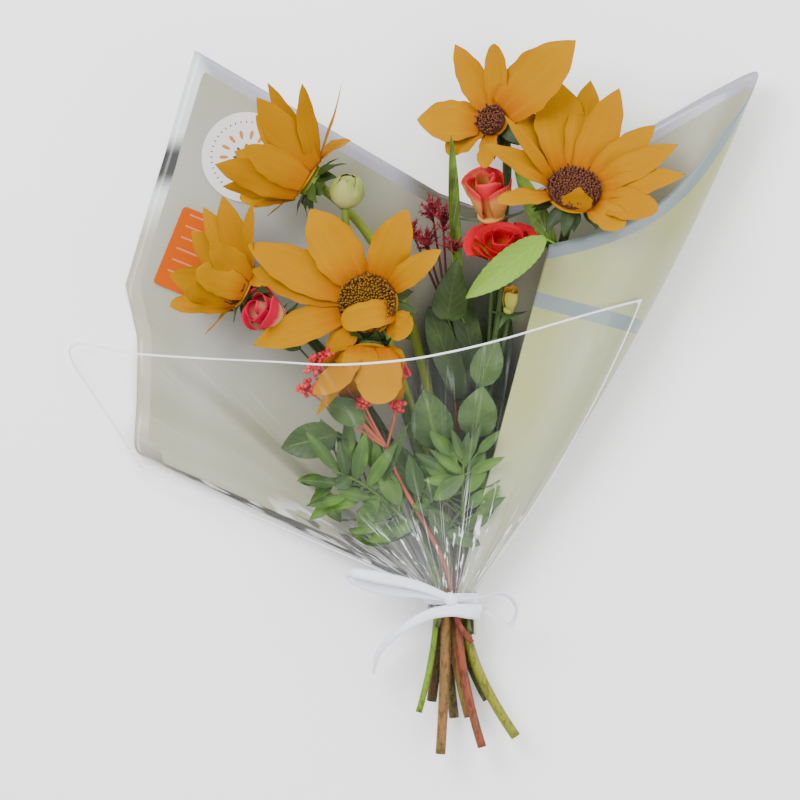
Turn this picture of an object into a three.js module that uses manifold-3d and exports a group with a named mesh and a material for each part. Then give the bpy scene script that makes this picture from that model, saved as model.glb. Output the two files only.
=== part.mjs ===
// A hand-tied bouquet of sunflowers, spray roses and greenery in a film wrap, lying on its back.
// Millimetres, +Z up. The stems point along -Y, the flower heads along +Y, and the faces look up.
// Everything is laid out in a plan frame whose Z is 0 on the table; the last lines move the
// bouquet so that the middle of its footprint is the origin.
import * as THREE from "three";
import Module from "manifold-3d";

const wasm = await Module();
wasm.setup();

// ---------------------------------------------------------------- driving dimensions
const FILM = 0.8; // thickness given to the films and the ribbon
const BLADE = 0.8; // thickness of petals and leaves
const GAP = 0.35; // clearance between pieces that would cross
const THICK_STEM = 3.6; // radius of a sunflower stem or a rose spray's stem
const THIN_STEM = 2.0; // radius of the lighter stems
const TIE = { x: 36.4, y: -140, z: 19.6 }; // middle of the stem bundle under the ribbon
const NECK_RADIUS = 16.6; // mid-surface of the wrap round the bundle
const RIBBON_WIDTH = 8;
const RIBBON_RADIUS = 18.7; // inside of the ribbon round the neck
const HOLD = 5; // the films are straight this far on both sides of the tie

// Where each stem passes through the tie, as an offset from its middle across and up, in a hexagon
// of thick stems with the thin ones in the grooves round it.
const THICK_RING = 7.7;
const THIN_RING = 11.9;
const slotAt = (radius, degrees) => [
  radius * Math.cos((degrees * Math.PI) / 180),
  radius * Math.sin((degrees * Math.PI) / 180),
];

const COLOURS = {
  petal: 0xf2a900,
  disc: 0x4a2a12,
  stem: 0x5d7f2a,
  darkLeaf: 0x35592f,
  paleLeaf: 0x8fb04a,
  rose: 0xf0453a,
  pinkRose: 0xe8567a,
  coral: 0xe8384a,
  darkRed: 0x9c1f2c,
  film: 0xb9b894,
  clear: 0xe8eef0,
  ribbon: 0xdedff0,
  paper: 0xe4e2e0,
  orange: 0xff6a00,
};

// ---------------------------------------------------------------- small helpers
const vec = (x, y, z) => new THREE.Vector3(x, y, z);
const radians = (degrees) => (degrees * Math.PI) / 180;
const mix = (a, b, t) => a + (b - a) * t;

// A repeatable random number from 0 to 1.
function seeded(seed) {
  let state = seed * 7919 + 17;
  return () => {
    state = (state * 48271) % 2147483647;
    return state / 2147483647;
  };
}

// A three.js geometry as a manifold solid, with its vertices merged by place.
function solid(geometry) {
  const plain = geometry.index ? geometry.toNonIndexed() : geometry;
  const position = plain.getAttribute("position");
  const seen = new Map();
  const vertices = [];
  const corner = (i) => {
    const p = [position.getX(i), position.getY(i), position.getZ(i)];
    const key = p.map((c) => Math.round(c * 1e4)).join();
    if (!seen.has(key)) {
      seen.set(key, vertices.length / 3);
      vertices.push(...p);
    }
    return seen.get(key);
  };
  const triangles = [];
  for (let i = 0; i < position.count; i += 3) {
    const [a, b, c] = [corner(i), corner(i + 1), corner(i + 2)];
    if (a !== b && b !== c && a !== c) triangles.push(a, b, c);
  }
  return new wasm.Manifold(
    new wasm.Mesh({
      numProp: 3,
      vertProperties: new Float32Array(vertices),
      triVerts: new Uint32Array(triangles),
    }),
  );
}

const join = (parts) => wasm.Manifold.union(parts);

// A closed geometry from rings of points: ring i joins ring i + 1, and a ring may shrink to one
// point. From the column `turned` on, the squares are split along their other diagonal.
function closedRows(rings, turned = Infinity) {
  const positions = [];
  for (let i = 0; i + 1 < rings.length; i += 1) {
    const around = rings[i].length;
    for (let j = 0; j < around; j += 1) {
      const k = (j + 1) % around;
      const [a, b, c, d] = [rings[i][j], rings[i + 1][j], rings[i + 1][k], rings[i][k]];
      if (j < turned) positions.push(a, b, c, a, c, d);
      else positions.push(a, b, d, b, c, d);
    }
  }
  return new THREE.BufferGeometry().setFromPoints(positions);
}

// Moves the border of a grid of points outwards by `grow`.
function growBorder(grid, grow) {
  const away = (p, inner) => p.clone().sub(inner).setLength(grow);
  const lastRow = grid.length - 1;
  return grid.map((row, i) => {
    const lastColumn = row.length - 1;
    return row.map((cell, j) => {
      const p = cell.p.clone();
      if (i === 0) p.add(away(cell.p, grid[1][j].p));
      if (i === lastRow) p.add(away(cell.p, grid[lastRow - 1][j].p));
      if (j === 0) p.add(away(cell.p, row[1].p));
      if (j === lastColumn) p.add(away(cell.p, row[lastColumn - 1].p));
      return { p, n: cell.n };
    });
  });
}

// A thin closed sheet: a grid of points, thickened both ways along the normals given with them.
// Its two faces are split into triangles alike, so that they stay apart where the sheet is warped.
function sheet(grid, half) {
  const top = grid.map((row) => row.map((g) => g.p.clone().addScaledVector(g.n, half)));
  const under = grid.map((row) => row.map((g) => g.p.clone().addScaledVector(g.n, -half)));
  // Each row runs over the top and back along the underside, so that it closes on itself.
  const rings = top.map((row, i) => [...row, ...[...under[i]].reverse()]);
  const cap = (ring, reverse) => {
    const across = ring.length / 2;
    const flat = [];
    for (let j = 0; j + 1 < across; j += 1) {
      const [a, b] = [ring[j], ring[j + 1]];
      const [c, d] = [ring[ring.length - 2 - j], ring[ring.length - 1 - j]];
      if (reverse) flat.push(a, c, b, a, d, c);
      else flat.push(a, b, c, a, c, d);
    }
    return flat;
  };
  const walls = closedRows(rings, grid[0].length).getAttribute("position");
  const points = [];
  for (let i = 0; i < walls.count; i += 1) {
    points.push(new THREE.Vector3().fromBufferAttribute(walls, i));
  }
  points.push(...cap(rings[0], false), ...cap(rings[rings.length - 1], true));
  return new THREE.BufferGeometry().setFromPoints(points);
}

// A tube along a curve, closed at both ends, whose radius goes from r0 to r1.
function tube(curve, r0, r1, sides, steps, pad) {
  const frames = curve.computeFrenetFrames(steps, false);
  const rows = [];
  for (let i = 0; i <= steps; i += 1) {
    const centre = curve.getPointAt(i / steps);
    if (i === 0) centre.addScaledVector(frames.tangents[0], -pad);
    if (i === steps) centre.addScaledVector(frames.tangents[steps], pad);
    const r = mix(r0, r1, i / steps) + pad;
    const ring = [];
    for (let k = 0; k < sides; k += 1) {
      const angle = (-2 * Math.PI * k) / sides;
      ring.push(
        centre
          .clone()
          .addScaledVector(frames.normals[i], r * Math.cos(angle))
          .addScaledVector(frames.binormals[i], r * Math.sin(angle)),
      );
    }
    if (i === 0) rows.push(ring.map(() => centre.clone()));
    rows.push(ring);
    if (i === steps) rows.push(ring.map(() => centre.clone()));
  }
  return solid(closedRows(rows));
}

// Three axes for a flower head or a leaf: `out` is the way it faces.
function facing(out) {
  const n = out.clone().normalize();
  const x = vec(1, 0, 0).addScaledVector(n, -n.x).normalize();
  return { n, x, y: new THREE.Vector3().crossVectors(n, x) };
}

// ---------------------------------------------------------------- blades: petals, bracts and leaves
// Each outline is the half width against the length, both from 0 to 1.
const OUTLINES = {
  ray: [[0, 0.64], [0.32, 1], [0.64, 0.84], [1, 0]],
  rounded: [[0, 0.6], [0.4, 1], [0.8, 0.86], [1, 0.2]],
  bract: [[0, 0.7], [0.4, 1], [1, 0]],
  sepal: [[0, 1], [1, 0]],
  lance: [[0, 0.12], [0.3, 0.95], [0.66, 0.86], [1, 0]],
  ovate: [[0, 0.12], [0.17, 0.8], [0.3, 0.8], [0.44, 1], [0.58, 0.82], [0.72, 0.78], [1, 0]],
  heart: [[0, 0.3], [0.12, 0.92], [0.35, 1], [0.62, 0.72], [0.84, 0.34], [1, 0]],
  strap: [[0, 0.5], [0.3, 0.9], [0.65, 1], [0.9, 0.55], [1, 0]],
};

// A thin curved blade. It starts at `base` along `dir`, lifts by `rise` towards `up`, and turns by
// `curl` along its length; `cup` raises its edges. `roll` turns it about its own midrib and `twist`
// turns it further towards its tip.
function blade(b, pad) {
  const outline = OUTLINES[b.outline];
  const side = new THREE.Vector3().crossVectors(b.up, b.dir);
  const across = b.across ?? 2;
  const half = BLADE / 2 + pad;
  const point = b.base.clone();
  const rows = [];
  const fine = 6;
  let t = 0;
  for (const [station, width] of outline) {
    const turn = (s) => radians(b.rise + b.curl * s);
    const stretch = (station - t) / fine;
    for (let k = 0; k < fine && stretch > 0; k += 1) {
      const a = turn(t + (k + 0.5) * stretch);
      point.addScaledVector(b.dir, Math.cos(a) * stretch * b.length);
      point.addScaledVector(b.up, Math.sin(a) * stretch * b.length);
    }
    t = station;
    const a = turn(t);
    const along = b.dir.clone().multiplyScalar(Math.cos(a)).addScaledVector(b.up, Math.sin(a));
    const up = b.up.clone().multiplyScalar(Math.cos(a)).addScaledVector(b.dir, -Math.sin(a));
    const roll = radians((b.roll ?? 0) + (b.twist ?? 0) * t);
    const wide = side.clone().multiplyScalar(Math.cos(roll)).addScaledVector(up, Math.sin(roll));
    const n = up.clone().multiplyScalar(Math.cos(roll)).addScaledVector(side, -Math.sin(roll));
    const grown = width > 0 ? (b.width / 2) * width + pad : 0;
    const middle = point.clone();
    if (t === 0) middle.addScaledVector(along, -pad);
    if (t === 1) middle.addScaledVector(along, pad);
    const row = [];
    for (let j = 0; j <= across; j += 1) {
      const s = (2 * j) / across - 1;
      const p = middle.clone().addScaledVector(wide, s * grown);
      p.addScaledVector(n, (b.cup ?? 0) * grown * s * s);
      row.push({ p, n });
    }
    rows.push(row);
  }
  return solid(sheet(rows, half));
}

// ---------------------------------------------------------------- stems
// One stem from its cut end, through its slot at the tie, to `top`, which it reaches going `way`.
function stemCurve(stem, top, way) {
  const [dx, dz] = stem.slot;
  const slot = vec(TIE.x + dx, TIE.y, TIE.z + dz);
  const reach = top.clone().sub(slot).length();
  const upper = new THREE.CubicBezierCurve3(
    slot,
    slot.clone().add(vec(0, reach * (stem.hold ?? 0.3), 0)),
    top.clone().addScaledVector(way, -reach * (stem.bend ?? 0.28)),
    top,
  );
  const end = vec(...stem.end);
  const lower = new THREE.QuadraticBezierCurve3(
    end,
    slot.clone().add(vec(0, (end.y - slot.y) * 0.45, 0)),
    slot,
  );
  const points = [...lower.getPoints(3).slice(0, -1), slot, ...upper.getPoints(6).slice(1)];
  return new THREE.CatmullRomCurve3(points, false, "centripetal");
}

// A leaf growing from `curve` at `at`, with its blade from `base` to `tip`. A leaf without a base
// has no stalk.
function leafOn(curve, leaf, pad) {
  const root = curve.getPointAt(leaf.at);
  const base = leaf.base ? vec(...leaf.base) : root.clone();
  const tip = vec(...leaf.tip);
  const chord = tip.clone().sub(base);
  const dir = chord.clone().normalize();
  const up = vec(...(leaf.up ?? [0, 0, 1]));
  up.addScaledVector(dir, -up.dot(dir)).normalize();
  const curl = leaf.curl ?? -30;
  const bow = radians(curl) / 2;
  const length = chord.length() / (Math.abs(bow) > 0.01 ? Math.sin(bow) / bow : 1);
  const parts = [
    blade(
      {
        base,
        dir,
        up,
        length,
        width: leaf.width,
        across: leaf.across,
        outline: leaf.outline ?? "lance",
        rise: -curl / 2,
        curl,
        cup: leaf.cup ?? 0.25,
        twist: leaf.twist ?? 0,
      },
      pad,
    ),
  ];
  if (leaf.base) {
    const stalk = new THREE.QuadraticBezierCurve3(
      root,
      root.clone().lerp(base, 0.6).addScaledVector(dir, -2),
      base.clone().addScaledVector(dir, 1.5),
    );
    parts.push(tube(stalk, 1.1, 0.8, 3, 2, pad));
  }
  return parts;
}

// ---------------------------------------------------------------- sunflowers
// `faces` is the way a head looks; a ray is [angle, length, width, rise, curl, turn]. Angle 0 is to
// the right and 90 away from the stems, both seen from in front of the head. Only a petal folded
// over its disc has a turn: it leaves that far round from the way that its foot looks.
const SUNFLOWERS = {
  front: {
    at: [-22, 67, 74],
    faces: [-0.26, 0.1, 0.96],
    disc: 21,
    slot: [0, 0],
    end: [49, -224, 17],
    bend: 0.06,
    shoot: 0.62,
    rays: [
      [120, 58, 35, 14, -12],
      [153, 76, 30, 12, -12],
      [162, 68, 27, 6, -8],
      [197, 66, 27, 10, -14],
      [66, 51, 29, 16, -14],
      [33, 45, 18, 24, -30],
      [234, 26, 20, 10, -30],
      [325, 16, 22, 10, -14],
      [342, 42, 20, 66, -104, -149],
    ],
  },
  low: {
    at: [-21, 34, 70],
    faces: [-0.05, -0.94, 0.34],
    disc: 13,
    slot: slotAt(THICK_RING, 120),
    end: [28.7, -250, 21],
    bend: 0.13,
    bract: 11,
    rays: [
      [164, 44, 30, 66, -16],
      [122, 28, 26, 94, -10],
      [48, 42, 32, 92, -14],
      [5, 14, 18, 40, -20],
      [190, 24, 20, 34, -16],
      [186, 52, 12, 68, -8],
      [250, 40, 24, 66, -10],
      [310, 34, 22, 60, -14],
    ],
  },
  right: {
    at: [121, 145, 84],
    faces: [0.08, 0.64, 0.76],
    disc: 19,
    slot: slotAt(THICK_RING, 0),
    end: [82, -238, 18],
    hold: 0.2,
    bend: 0.26,
    rays: [
      [196, 37, 18, 12, -14],
      [158, 52, 23, 26, -16],
      [146, 56, 9, 44, -10],
      [122, 57, 32, 18, -4],
      [100, 72, 40, 22, -4],
      [82, 72, 26, 20, -6],
      [68, 69, 27, 24, -6],
      [39, 58, 24, 24, -4],
      [22, 62, 22, 24, -6],
      [4, 60, 21, 20, -8],
      [338, 42, 27, 14, -6],
      [315, 28, 22, 10, -12],
      [272, 22, 22, 84, 20],
    ],
  },
  top: {
    at: [65, 195, 60],
    faces: [-0.42, 0.3, 0.86],
    disc: 11,
    slot: slotAt(THICK_RING, 300),
    end: [62, -212, 9],
    bend: 0.16,
    rays: [
      [112, 54, 21, 10, 0],
      [79, 44, 17, 12, 22],
      [174, 45, 33, 14, -8],
      [35, 71, 40, 10, -6],
      [262, 25, 16, 14, -10],
      [204, 29, 22, 8, -20],
    ],
  },
  side: {
    at: [-66, 156, 50],
    faces: [-0.83, 0.54, 0.14],
    disc: 15,
    slot: slotAt(THICK_RING, 240),
    end: [38.5, -225, 8],
    hold: 0.17,
    bend: 0.34,
    rays: [
      [230, 63, 25, 76, -8],
      [317, 70, 25, 68, -8],
      [336, 65, 17, 43, -6],
      [0, 58, 8, 10, 14],
      [15, 27, 26, -8, -35],
      [20, 64, 19, 67, -4],
      [270, 54, 24, 74, -8],
      [200, 51, 23, 67, -8],
      [175, 38, 20, 53, -8],
      [185, 24, 8, 22, -8],
      [120, 54, 24, 67, -8],
      [70, 54, 24, 72, -8],
    ],
  },
  left: {
    at: [-112, 78, 42],
    faces: [-0.84, 0.42, 0.34],
    disc: 14,
    slot: slotAt(THICK_RING, 180),
    end: [22.4, -213, 13],
    bend: 0.26,
    rays: [
      [54, 56, 23, 43, -8],
      [30, 50, 21, 30, -8],
      [70, 55, 19, 54, -8],
      [91, 48, 24, 61, -8],
      [146, 46, 25, 71, -8],
      [209, 44, 20, 69, -8],
      [222, 28, 12, 25, -8],
      [341, 45, 24, 73, -8],
      [302, 41, 22, 84, -8],
      [239, 39, 22, 84, -8],
      [344, 16, 13, -20, -60],
    ],
  },
};
const BRACTS = 6;
const DISC_RINGS = [[0.28, 4.6], [0.52, 4.8], [0.78, 4], [1, 2.6]];
const DISC_SIDES = 16;

// Petals longer than this are creased along the middle.
SUNFLOWERS.front.creased = 55;
SUNFLOWERS.right.creased = 55;

// The heads' stacked levels, measured along the way that the head faces.
const RAY_FLOOR = -1.2;
const RAY_TOP = 0.5;
const RAY_FOOT = -0.35; // where the petals leave their collar
const OVERLAP = 9; // each petal is turned by this about its midrib, so that it lies over the next
const FACE_UP = 38; // a petal that stands up turns by up to this, to show its face from above
const STANDS = 35; // petals that rise by more than this stand up
const DISC_FLOOR = RAY_TOP + GAP;

// Places a shape made round +Z onto a flower head.
function onHead(head, shape) {
  const { n, x, y } = facing(vec(...head.faces));
  const turn = new THREE.Matrix4().makeBasis(x, y, n).setPosition(...head.at);
  return shape.transform(turn.elements);
}

function lathe(profile, sides) {
  return solid(
    new THREE.LatheGeometry(profile.map(([r, z]) => new THREE.Vector2(r, z)), sides).rotateX(
      Math.PI / 2,
    ),
  );
}

// The turn about its midrib, in degrees, with which a petal shows its face upwards.
function turnedUp(dir, up, rise) {
  const a = radians(rise);
  const lifted = up.clone().multiplyScalar(Math.cos(a)).addScaledVector(dir, -Math.sin(a));
  const side = new THREE.Vector3().crossVectors(up, dir);
  const roll = Math.atan2(-side.z * Math.sign(lifted.z), Math.abs(lifted.z));
  return THREE.MathUtils.clamp(THREE.MathUtils.radToDeg(roll), -FACE_UP, FACE_UP);
}

// From here on a maker returns two lists of solids: the core, which keeps its shape, and the
// frills, which make way for the cores of the other pieces.
function rays(head, pad) {
  const { n, x, y } = facing(vec(...head.faces));
  const inner = head.disc - 3 - pad;
  const outer = head.disc + 2 + pad;
  const collar = onHead(
    head,
    lathe(
      [
        [inner, RAY_FLOOR - pad],
        [outer, RAY_FLOOR - pad],
        [outer, RAY_TOP + pad],
        [inner, RAY_TOP + pad],
        [inner, RAY_FLOOR - pad],
      ],
      9,
    ),
  );
  const blades = head.rays.map(([angle, length, width, rise, curl, turn = 0]) => {
    const way = (degrees) => {
      const a = radians(degrees);
      return x.clone().multiplyScalar(Math.cos(a)).addScaledVector(y, Math.sin(a));
    };
    const base = vec(...head.at).addScaledVector(way(angle), head.disc + 0.4).addScaledVector(n, RAY_FOOT);
    const dir = way(angle + turn);
    const roll = rise > STANDS ? turnedUp(dir, n, rise + 0.4 * curl) : OVERLAP;
    return blade(
      {
        base,
        dir,
        up: n,
        length,
        width,
        outline: length > 44 ? "ray" : "rounded",
        across: length > head.creased ? 2 : 1,
        rise,
        curl,
        cup: 0.1,
        roll: turn ? 0 : roll,
      },
      pad,
    );
  });
  return [[collar], blades];
}

// A dome of florets: rings whose alternate points stand up.
function disc(head, pad) {
  const rows = [];
  const floor = [];
  const rim = head.disc + pad;
  DISC_RINGS.forEach(([share, height], i) => {
    const ring = [];
    for (let k = 0; k < DISC_SIDES; k += 1) {
      const a = (2 * Math.PI * (k + (i % 2) / 2)) / DISC_SIDES;
      const stud = k % 2 === i % 2 && i < DISC_RINGS.length - 1 ? 1.3 : 0;
      const r = rim * share;
      ring.push(vec(r * Math.cos(a), r * Math.sin(a), DISC_FLOOR + height + stud + pad));
    }
    rows.push(ring);
  });
  for (let k = 0; k < DISC_SIDES; k += 1) {
    const a = (2 * Math.PI * (k + ((DISC_RINGS.length - 1) % 2) / 2)) / DISC_SIDES;
    floor.push(vec((rim - 1) * Math.cos(a), (rim - 1) * Math.sin(a), DISC_FLOOR - pad));
  }
  const middle = vec(0, 0, DISC_FLOOR + DISC_RINGS[0][1] + 0.4 + pad);
  const under = vec(0, 0, DISC_FLOOR - pad);
  const stack = [floor.map(() => under), floor, ...rows.reverse(), floor.map(() => middle)];
  return [[onHead(head, solid(closedRows(stack.reverse())))], []];
}

// The receptacle, its bracts and the stem.
function sunflowerGreen(head, pad) {
  const { n, x, y } = facing(vec(...head.faces));
  const cup = head.disc - 4.6;
  const receptacle = onHead(
    head,
    lathe(
      [
        [0, RAY_TOP + pad],
        [cup + pad, RAY_TOP + pad],
        [cup + pad, RAY_FLOOR - 1.2],
        [head.disc - 3 + pad, RAY_FLOOR - GAP - 0.2 + pad],
        [head.disc - 4 + pad, -6],
        [7 + pad, -11],
        [THICK_STEM + pad, -15 - pad],
        [0, -15 - pad],
      ].reverse(),
      9,
    ),
  );
  const bracts = [];
  for (let i = 0; i < BRACTS; i += 1) {
    const a = (2 * Math.PI * (i + 0.3)) / BRACTS;
    const dir = x.clone().multiplyScalar(Math.cos(a)).addScaledVector(y, Math.sin(a));
    const base = vec(...head.at).addScaledVector(dir, head.disc - 7).addScaledVector(n, -4.4);
    bracts.push(
      blade(
        {
          base,
          dir,
          up: n,
          length: (head.bract ?? 19) + 3 * (i % 3),
          width: 11,
          across: 1,
          outline: "bract",
          rise: i % 2 ? -4 : -16,
          curl: -20,
        },
        pad,
      ),
    );
  }
  const top = vec(...head.at).addScaledVector(n, -12);
  const curve = stemCurve(head, top, n);
  const stem = tube(curve, THICK_STEM, THICK_STEM - 0.3, 6, 11, pad);
  const leaves = (head.leaves ?? []).flatMap((leaf) => leafOn(curve, leaf, pad));
  const core = [receptacle, stem];
  if (head.shoot) core.push(shoot(curve.getPointAt(head.shoot), pad));
  return [core, [...bracts, ...leaves]];
}

// Leaves on the sunflower stems, from base to tip.
SUNFLOWERS.top.leaves = [
  { at: 0.58, base: [42, 60, 50], tip: [35.5, 186, 66], width: 11, outline: "strap", curl: 14,
    up: [0.75, 0, 0.66], cup: 0.7 },
  { at: 0.44, base: [44, 0, 38], tip: [20, 66, 48], width: 20, outline: "strap", curl: -16 },
  { at: 0.47, base: [56, 8, 38], tip: [40, 84, 44], width: 18, outline: "strap", curl: -12 },
  { at: 0.54, base: [33, 56, 52], tip: [40, 100, 60], width: 24, outline: "heart", cup: 0.4 },
];
SUNFLOWERS.right.leaves = [
  { at: 0.9, base: [101, 113, 87], tip: [45, 70, 92], width: 23, outline: "ovate", cup: 0.3, curl: -44 },
  { at: 0.5, base: [70, 0, 30], tip: [74, 70, 34], width: 14, outline: "strap", curl: -16 },
  { at: 0.72, base: [110, 100, 58], tip: [78, 168, 84], width: 14, outline: "lance", cup: 0.4 },
];

// ---------------------------------------------------------------- roses
// Petals wrap round the middle on a spiral, each a little further out than the one before. `open`
// says how far the outer ones fall: 0 stands them up and 1 lays them out.
const ROSES = {
  upper: { at: [64, 128, 54], faces: [-0.1, 0.8, 0.55], radius: 21, height: 37, petals: 7, open: 0.3 },
  lower: { at: [73, 99, 71], faces: [0.02, 0.8, 0.6], radius: 26, height: 22, petals: 10, open: 0.8 },
  bud: { at: [76, 62, 58], faces: [0.05, 0.85, 0.5], radius: 8, height: 19, petals: 4, open: 0.05 },
  left: { at: [-85, 57, 50], faces: [-0.72, 0.3, 0.6], radius: 19, height: 27, petals: 7, open: 0.35 },
};
const GOLDEN_ANGLE = 137.5;
const ROSE_FLOOR = 3; // height of the solid base that the petals grow from

function rosePetal(bloom, k, pad) {
  const share = (k + 1) / bloom.petals;
  const span = radians(mix(86, 52, share));
  const foot = bloom.radius * mix(0.12, 0.42, share);
  const waist = bloom.radius * mix(0.24, 0.78, share);
  const brim = bloom.radius * mix(0.14, mix(0.8, 1.1, bloom.open), share);
  const tall = bloom.height * mix(1, mix(0.95, 0.6, bloom.open), share);
  const levels = [
    [foot, 1],
    [waist, tall * 0.55],
    [brim, tall],
  ];
  const grid = levels.map(([r, z], level) => {
    const row = [];
    for (let i = 0; i <= 3; i += 1) {
      const s = (2 * i) / 3 - 1;
      const a = radians(k * GOLDEN_ANGLE) + s * (span + pad / bloom.radius) * (level ? 1 : 0.7);
      const reach = r + s * 0.9;
      const drop = level === 2 ? tall * 0.16 * s * s : 0;
      row.push(vec(reach * Math.cos(a), reach * Math.sin(a), z - drop + (level ? pad : -pad / 2)));
    }
    return row;
  });
  const cells = grid.map((row, i) =>
    row.map((p, j) => {
      const along = grid[Math.min(i + 1, 2)][j].clone().sub(grid[Math.max(i - 1, 0)][j]);
      const across = row[Math.min(j + 1, 3)].clone().sub(row[Math.max(j - 1, 0)]);
      return { p, n: along.cross(across).normalize() };
    }),
  );
  return onHead(bloom, solid(sheet(cells, BLADE / 2 + pad)));
}

function rose(bloom, pad) {
  const { radius } = bloom;
  const middle = lathe(
    [
      [0, -pad],
      [radius * 0.46 + pad, 0],
      [radius * 0.46 + pad, ROSE_FLOOR],
      [0, ROSE_FLOOR + 1 + pad],
    ],
    7,
  );
  const petals = [];
  for (let k = 0; k < bloom.petals; k += 1) petals.push(rosePetal(bloom, k, pad));
  return [[onHead(bloom, middle)], petals];
}

// The green cup under a bloom, and its five sepals.
function roseCup(bloom, pad) {
  const { n, x, y } = facing(vec(...bloom.faces));
  const r = bloom.radius * 0.3;
  const cup = onHead(
    bloom,
    lathe([[0, -9 - pad], [2 + pad, -8], [r + pad, -3.4], [r + pad, -GAP - 0.1], [0, -GAP + pad]], 7),
  );
  const sepals = [];
  for (let i = 0; i < 5; i += 1) {
    const a = radians(i * 72 + 20);
    const dir = x.clone().multiplyScalar(Math.cos(a)).addScaledVector(y, Math.sin(a));
    sepals.push(
      blade(
        {
          base: vec(...bloom.at).addScaledVector(dir, r * 0.7).addScaledVector(n, -2.2),
          dir,
          up: n,
          length: bloom.height * 0.7,
          width: 6,
          across: 1,
          outline: "sepal",
          rise: -12,
          curl: i % 2 ? -50 : 30,
        },
        pad,
      ),
    );
  }
  return { cup, sepals };
}

// Two rose stems: one carries three blooms, and one carries a single bloom.
const ROSE_STEMS = {
  right: {
    slot: slotAt(THICK_RING, 60),
    end: [58, -245, 26],
    radius: THICK_STEM - 0.4,
    main: "lower",
    sides: [["upper", 0.74], ["bud", 0.66]],
    leaves: [
      { at: 0.47, base: [26, -34, 50], tip: [17, 8, 66], width: 32, outline: "ovate", cup: 0.12 },
      { at: 0.5, base: [52, -26, 48], tip: [58, 10, 58], width: 30, outline: "ovate", cup: 0.15 },
      { at: 0.44, base: [12, -62, 42], tip: [-14, -26, 49], width: 24, outline: "ovate" },
      { at: 0.56, base: [56, 10, 44], tip: [68, 44, 50], width: 24, outline: "ovate" },
      { at: 0.42, base: [34, -68, 40], tip: [12, -36, 40], width: 26, outline: "heart" },
      { at: 0.4, base: [46, -72, 34], tip: [58, -34, 38], width: 24, outline: "heart" },
    ],
  },
  left: {
    slot: slotAt(THIN_RING, 150),
    end: [13.3, -220.5, 24],
    bend: 0.12,
    radius: THIN_STEM + 0.4,
    main: "left",
    sides: [],
    leaves: [
      { at: 0.58, base: [-44, -24, 44], tip: [-84, -34, 38], width: 27, outline: "ovate", cup: 0.12 },
      { at: 0.6, base: [-24, -14, 56], tip: [-54, 0, 60], width: 21, outline: "ovate" },
      { at: 0.66, base: [-70, 36, 44], tip: [-92, 52, 44], width: 15, outline: "ovate" },
    ],
  },
};

function roseStem(stem, pad) {
  const base = (bloom) => {
    const n = vec(...bloom.faces).normalize();
    return { top: vec(...bloom.at).addScaledVector(n, -7), n };
  };
  const main = base(ROSES[stem.main]);
  const curve = stemCurve(stem, main.top, main.n);
  const core = [tube(curve, stem.radius, stem.radius - 0.8, 5, 12, pad)];
  const frills = stem.leaves.flatMap((leaf) => leafOn(curve, leaf, pad));
  const crown = (bloom) => {
    const { cup, sepals } = roseCup(bloom, pad);
    core.push(cup);
    frills.push(...sepals);
  };
  crown(ROSES[stem.main]);
  for (const [name, at] of stem.sides) {
    const { top, n } = base(ROSES[name]);
    const root = curve.getPointAt(at);
    const branch = new THREE.QuadraticBezierCurve3(root, top.clone().addScaledVector(n, -22), top);
    core.push(tube(branch, 2, 1.6, 4, 5, pad));
    crown(ROSES[name]);
  }
  return [core, frills];
}

// ---------------------------------------------------------------- the green flower bud
const GREEN_BUD = { at: [-37, 146, 66], faces: [0.1, 0.92, 0.38], radius: 12 };

// Overlapping scales: each ring of the ball steps out over the one above it.
function greenBud(pad) {
  const r = GREEN_BUD.radius;
  const profile = [[0, -r * 0.9 - pad]];
  const rings = 6;
  for (let i = 1; i < rings; i += 1) {
    const a = (Math.PI * i) / rings;
    const step = i % 2 ? 0.7 : 0;
    profile.push([r * Math.sin(a) + step + pad, -r * Math.cos(a)]);
  }
  profile.push([0, r + 1 + pad]);
  return [[onHead(GREEN_BUD, lathe(profile, 9))], []];
}

// The side shoot that carries the bud, from its root on a sunflower's stem.
function shoot(root, pad) {
  const n = vec(...GREEN_BUD.faces).normalize();
  const top = vec(...GREEN_BUD.at).addScaledVector(n, -GREEN_BUD.radius * 0.9 - GAP);
  const curve = new THREE.CubicBezierCurve3(
    root,
    root.clone().add(vec(-8, 40, 2)),
    top.clone().addScaledVector(n, -40),
    top,
  );
  return tube(curve, THIN_STEM, THIN_STEM + 0.6, 5, 9, pad);
}

// ---------------------------------------------------------------- red filler sprays
// Each spray is a branching stem; a head of florets is [x, y, z, reach].
const FILLERS = {
  coral: {
    slot: slotAt(THIN_RING, 90),
    end: [51, -171, 33],
    fork: [-9, -34, 54],
    seed: 3,
    heads: [
      [-52, 10, 62, 9],
      [-60, 24, 64, 8],
      [-66, 8, 60, 7],
      [-26, -1, 66, 6],
      [-2, -4, 64, 6],
      [-50, 30, 66, 7],
      [2, 20, 60, 6],
    ],
  },
  red: {
    slot: slotAt(THIN_RING, 270),
    end: [49, -206, 4],
    fork: [34, 60, 40],
    seed: 8,
    heads: [
      [18, 112, 46, 9],
      [30, 128, 50, 9],
      [22, 136, 40, 7],
      [38, 108, 54, 8],
      [8, 120, 38, 7],
      [154, 178, 56, 6],
    ],
  },
};

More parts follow.
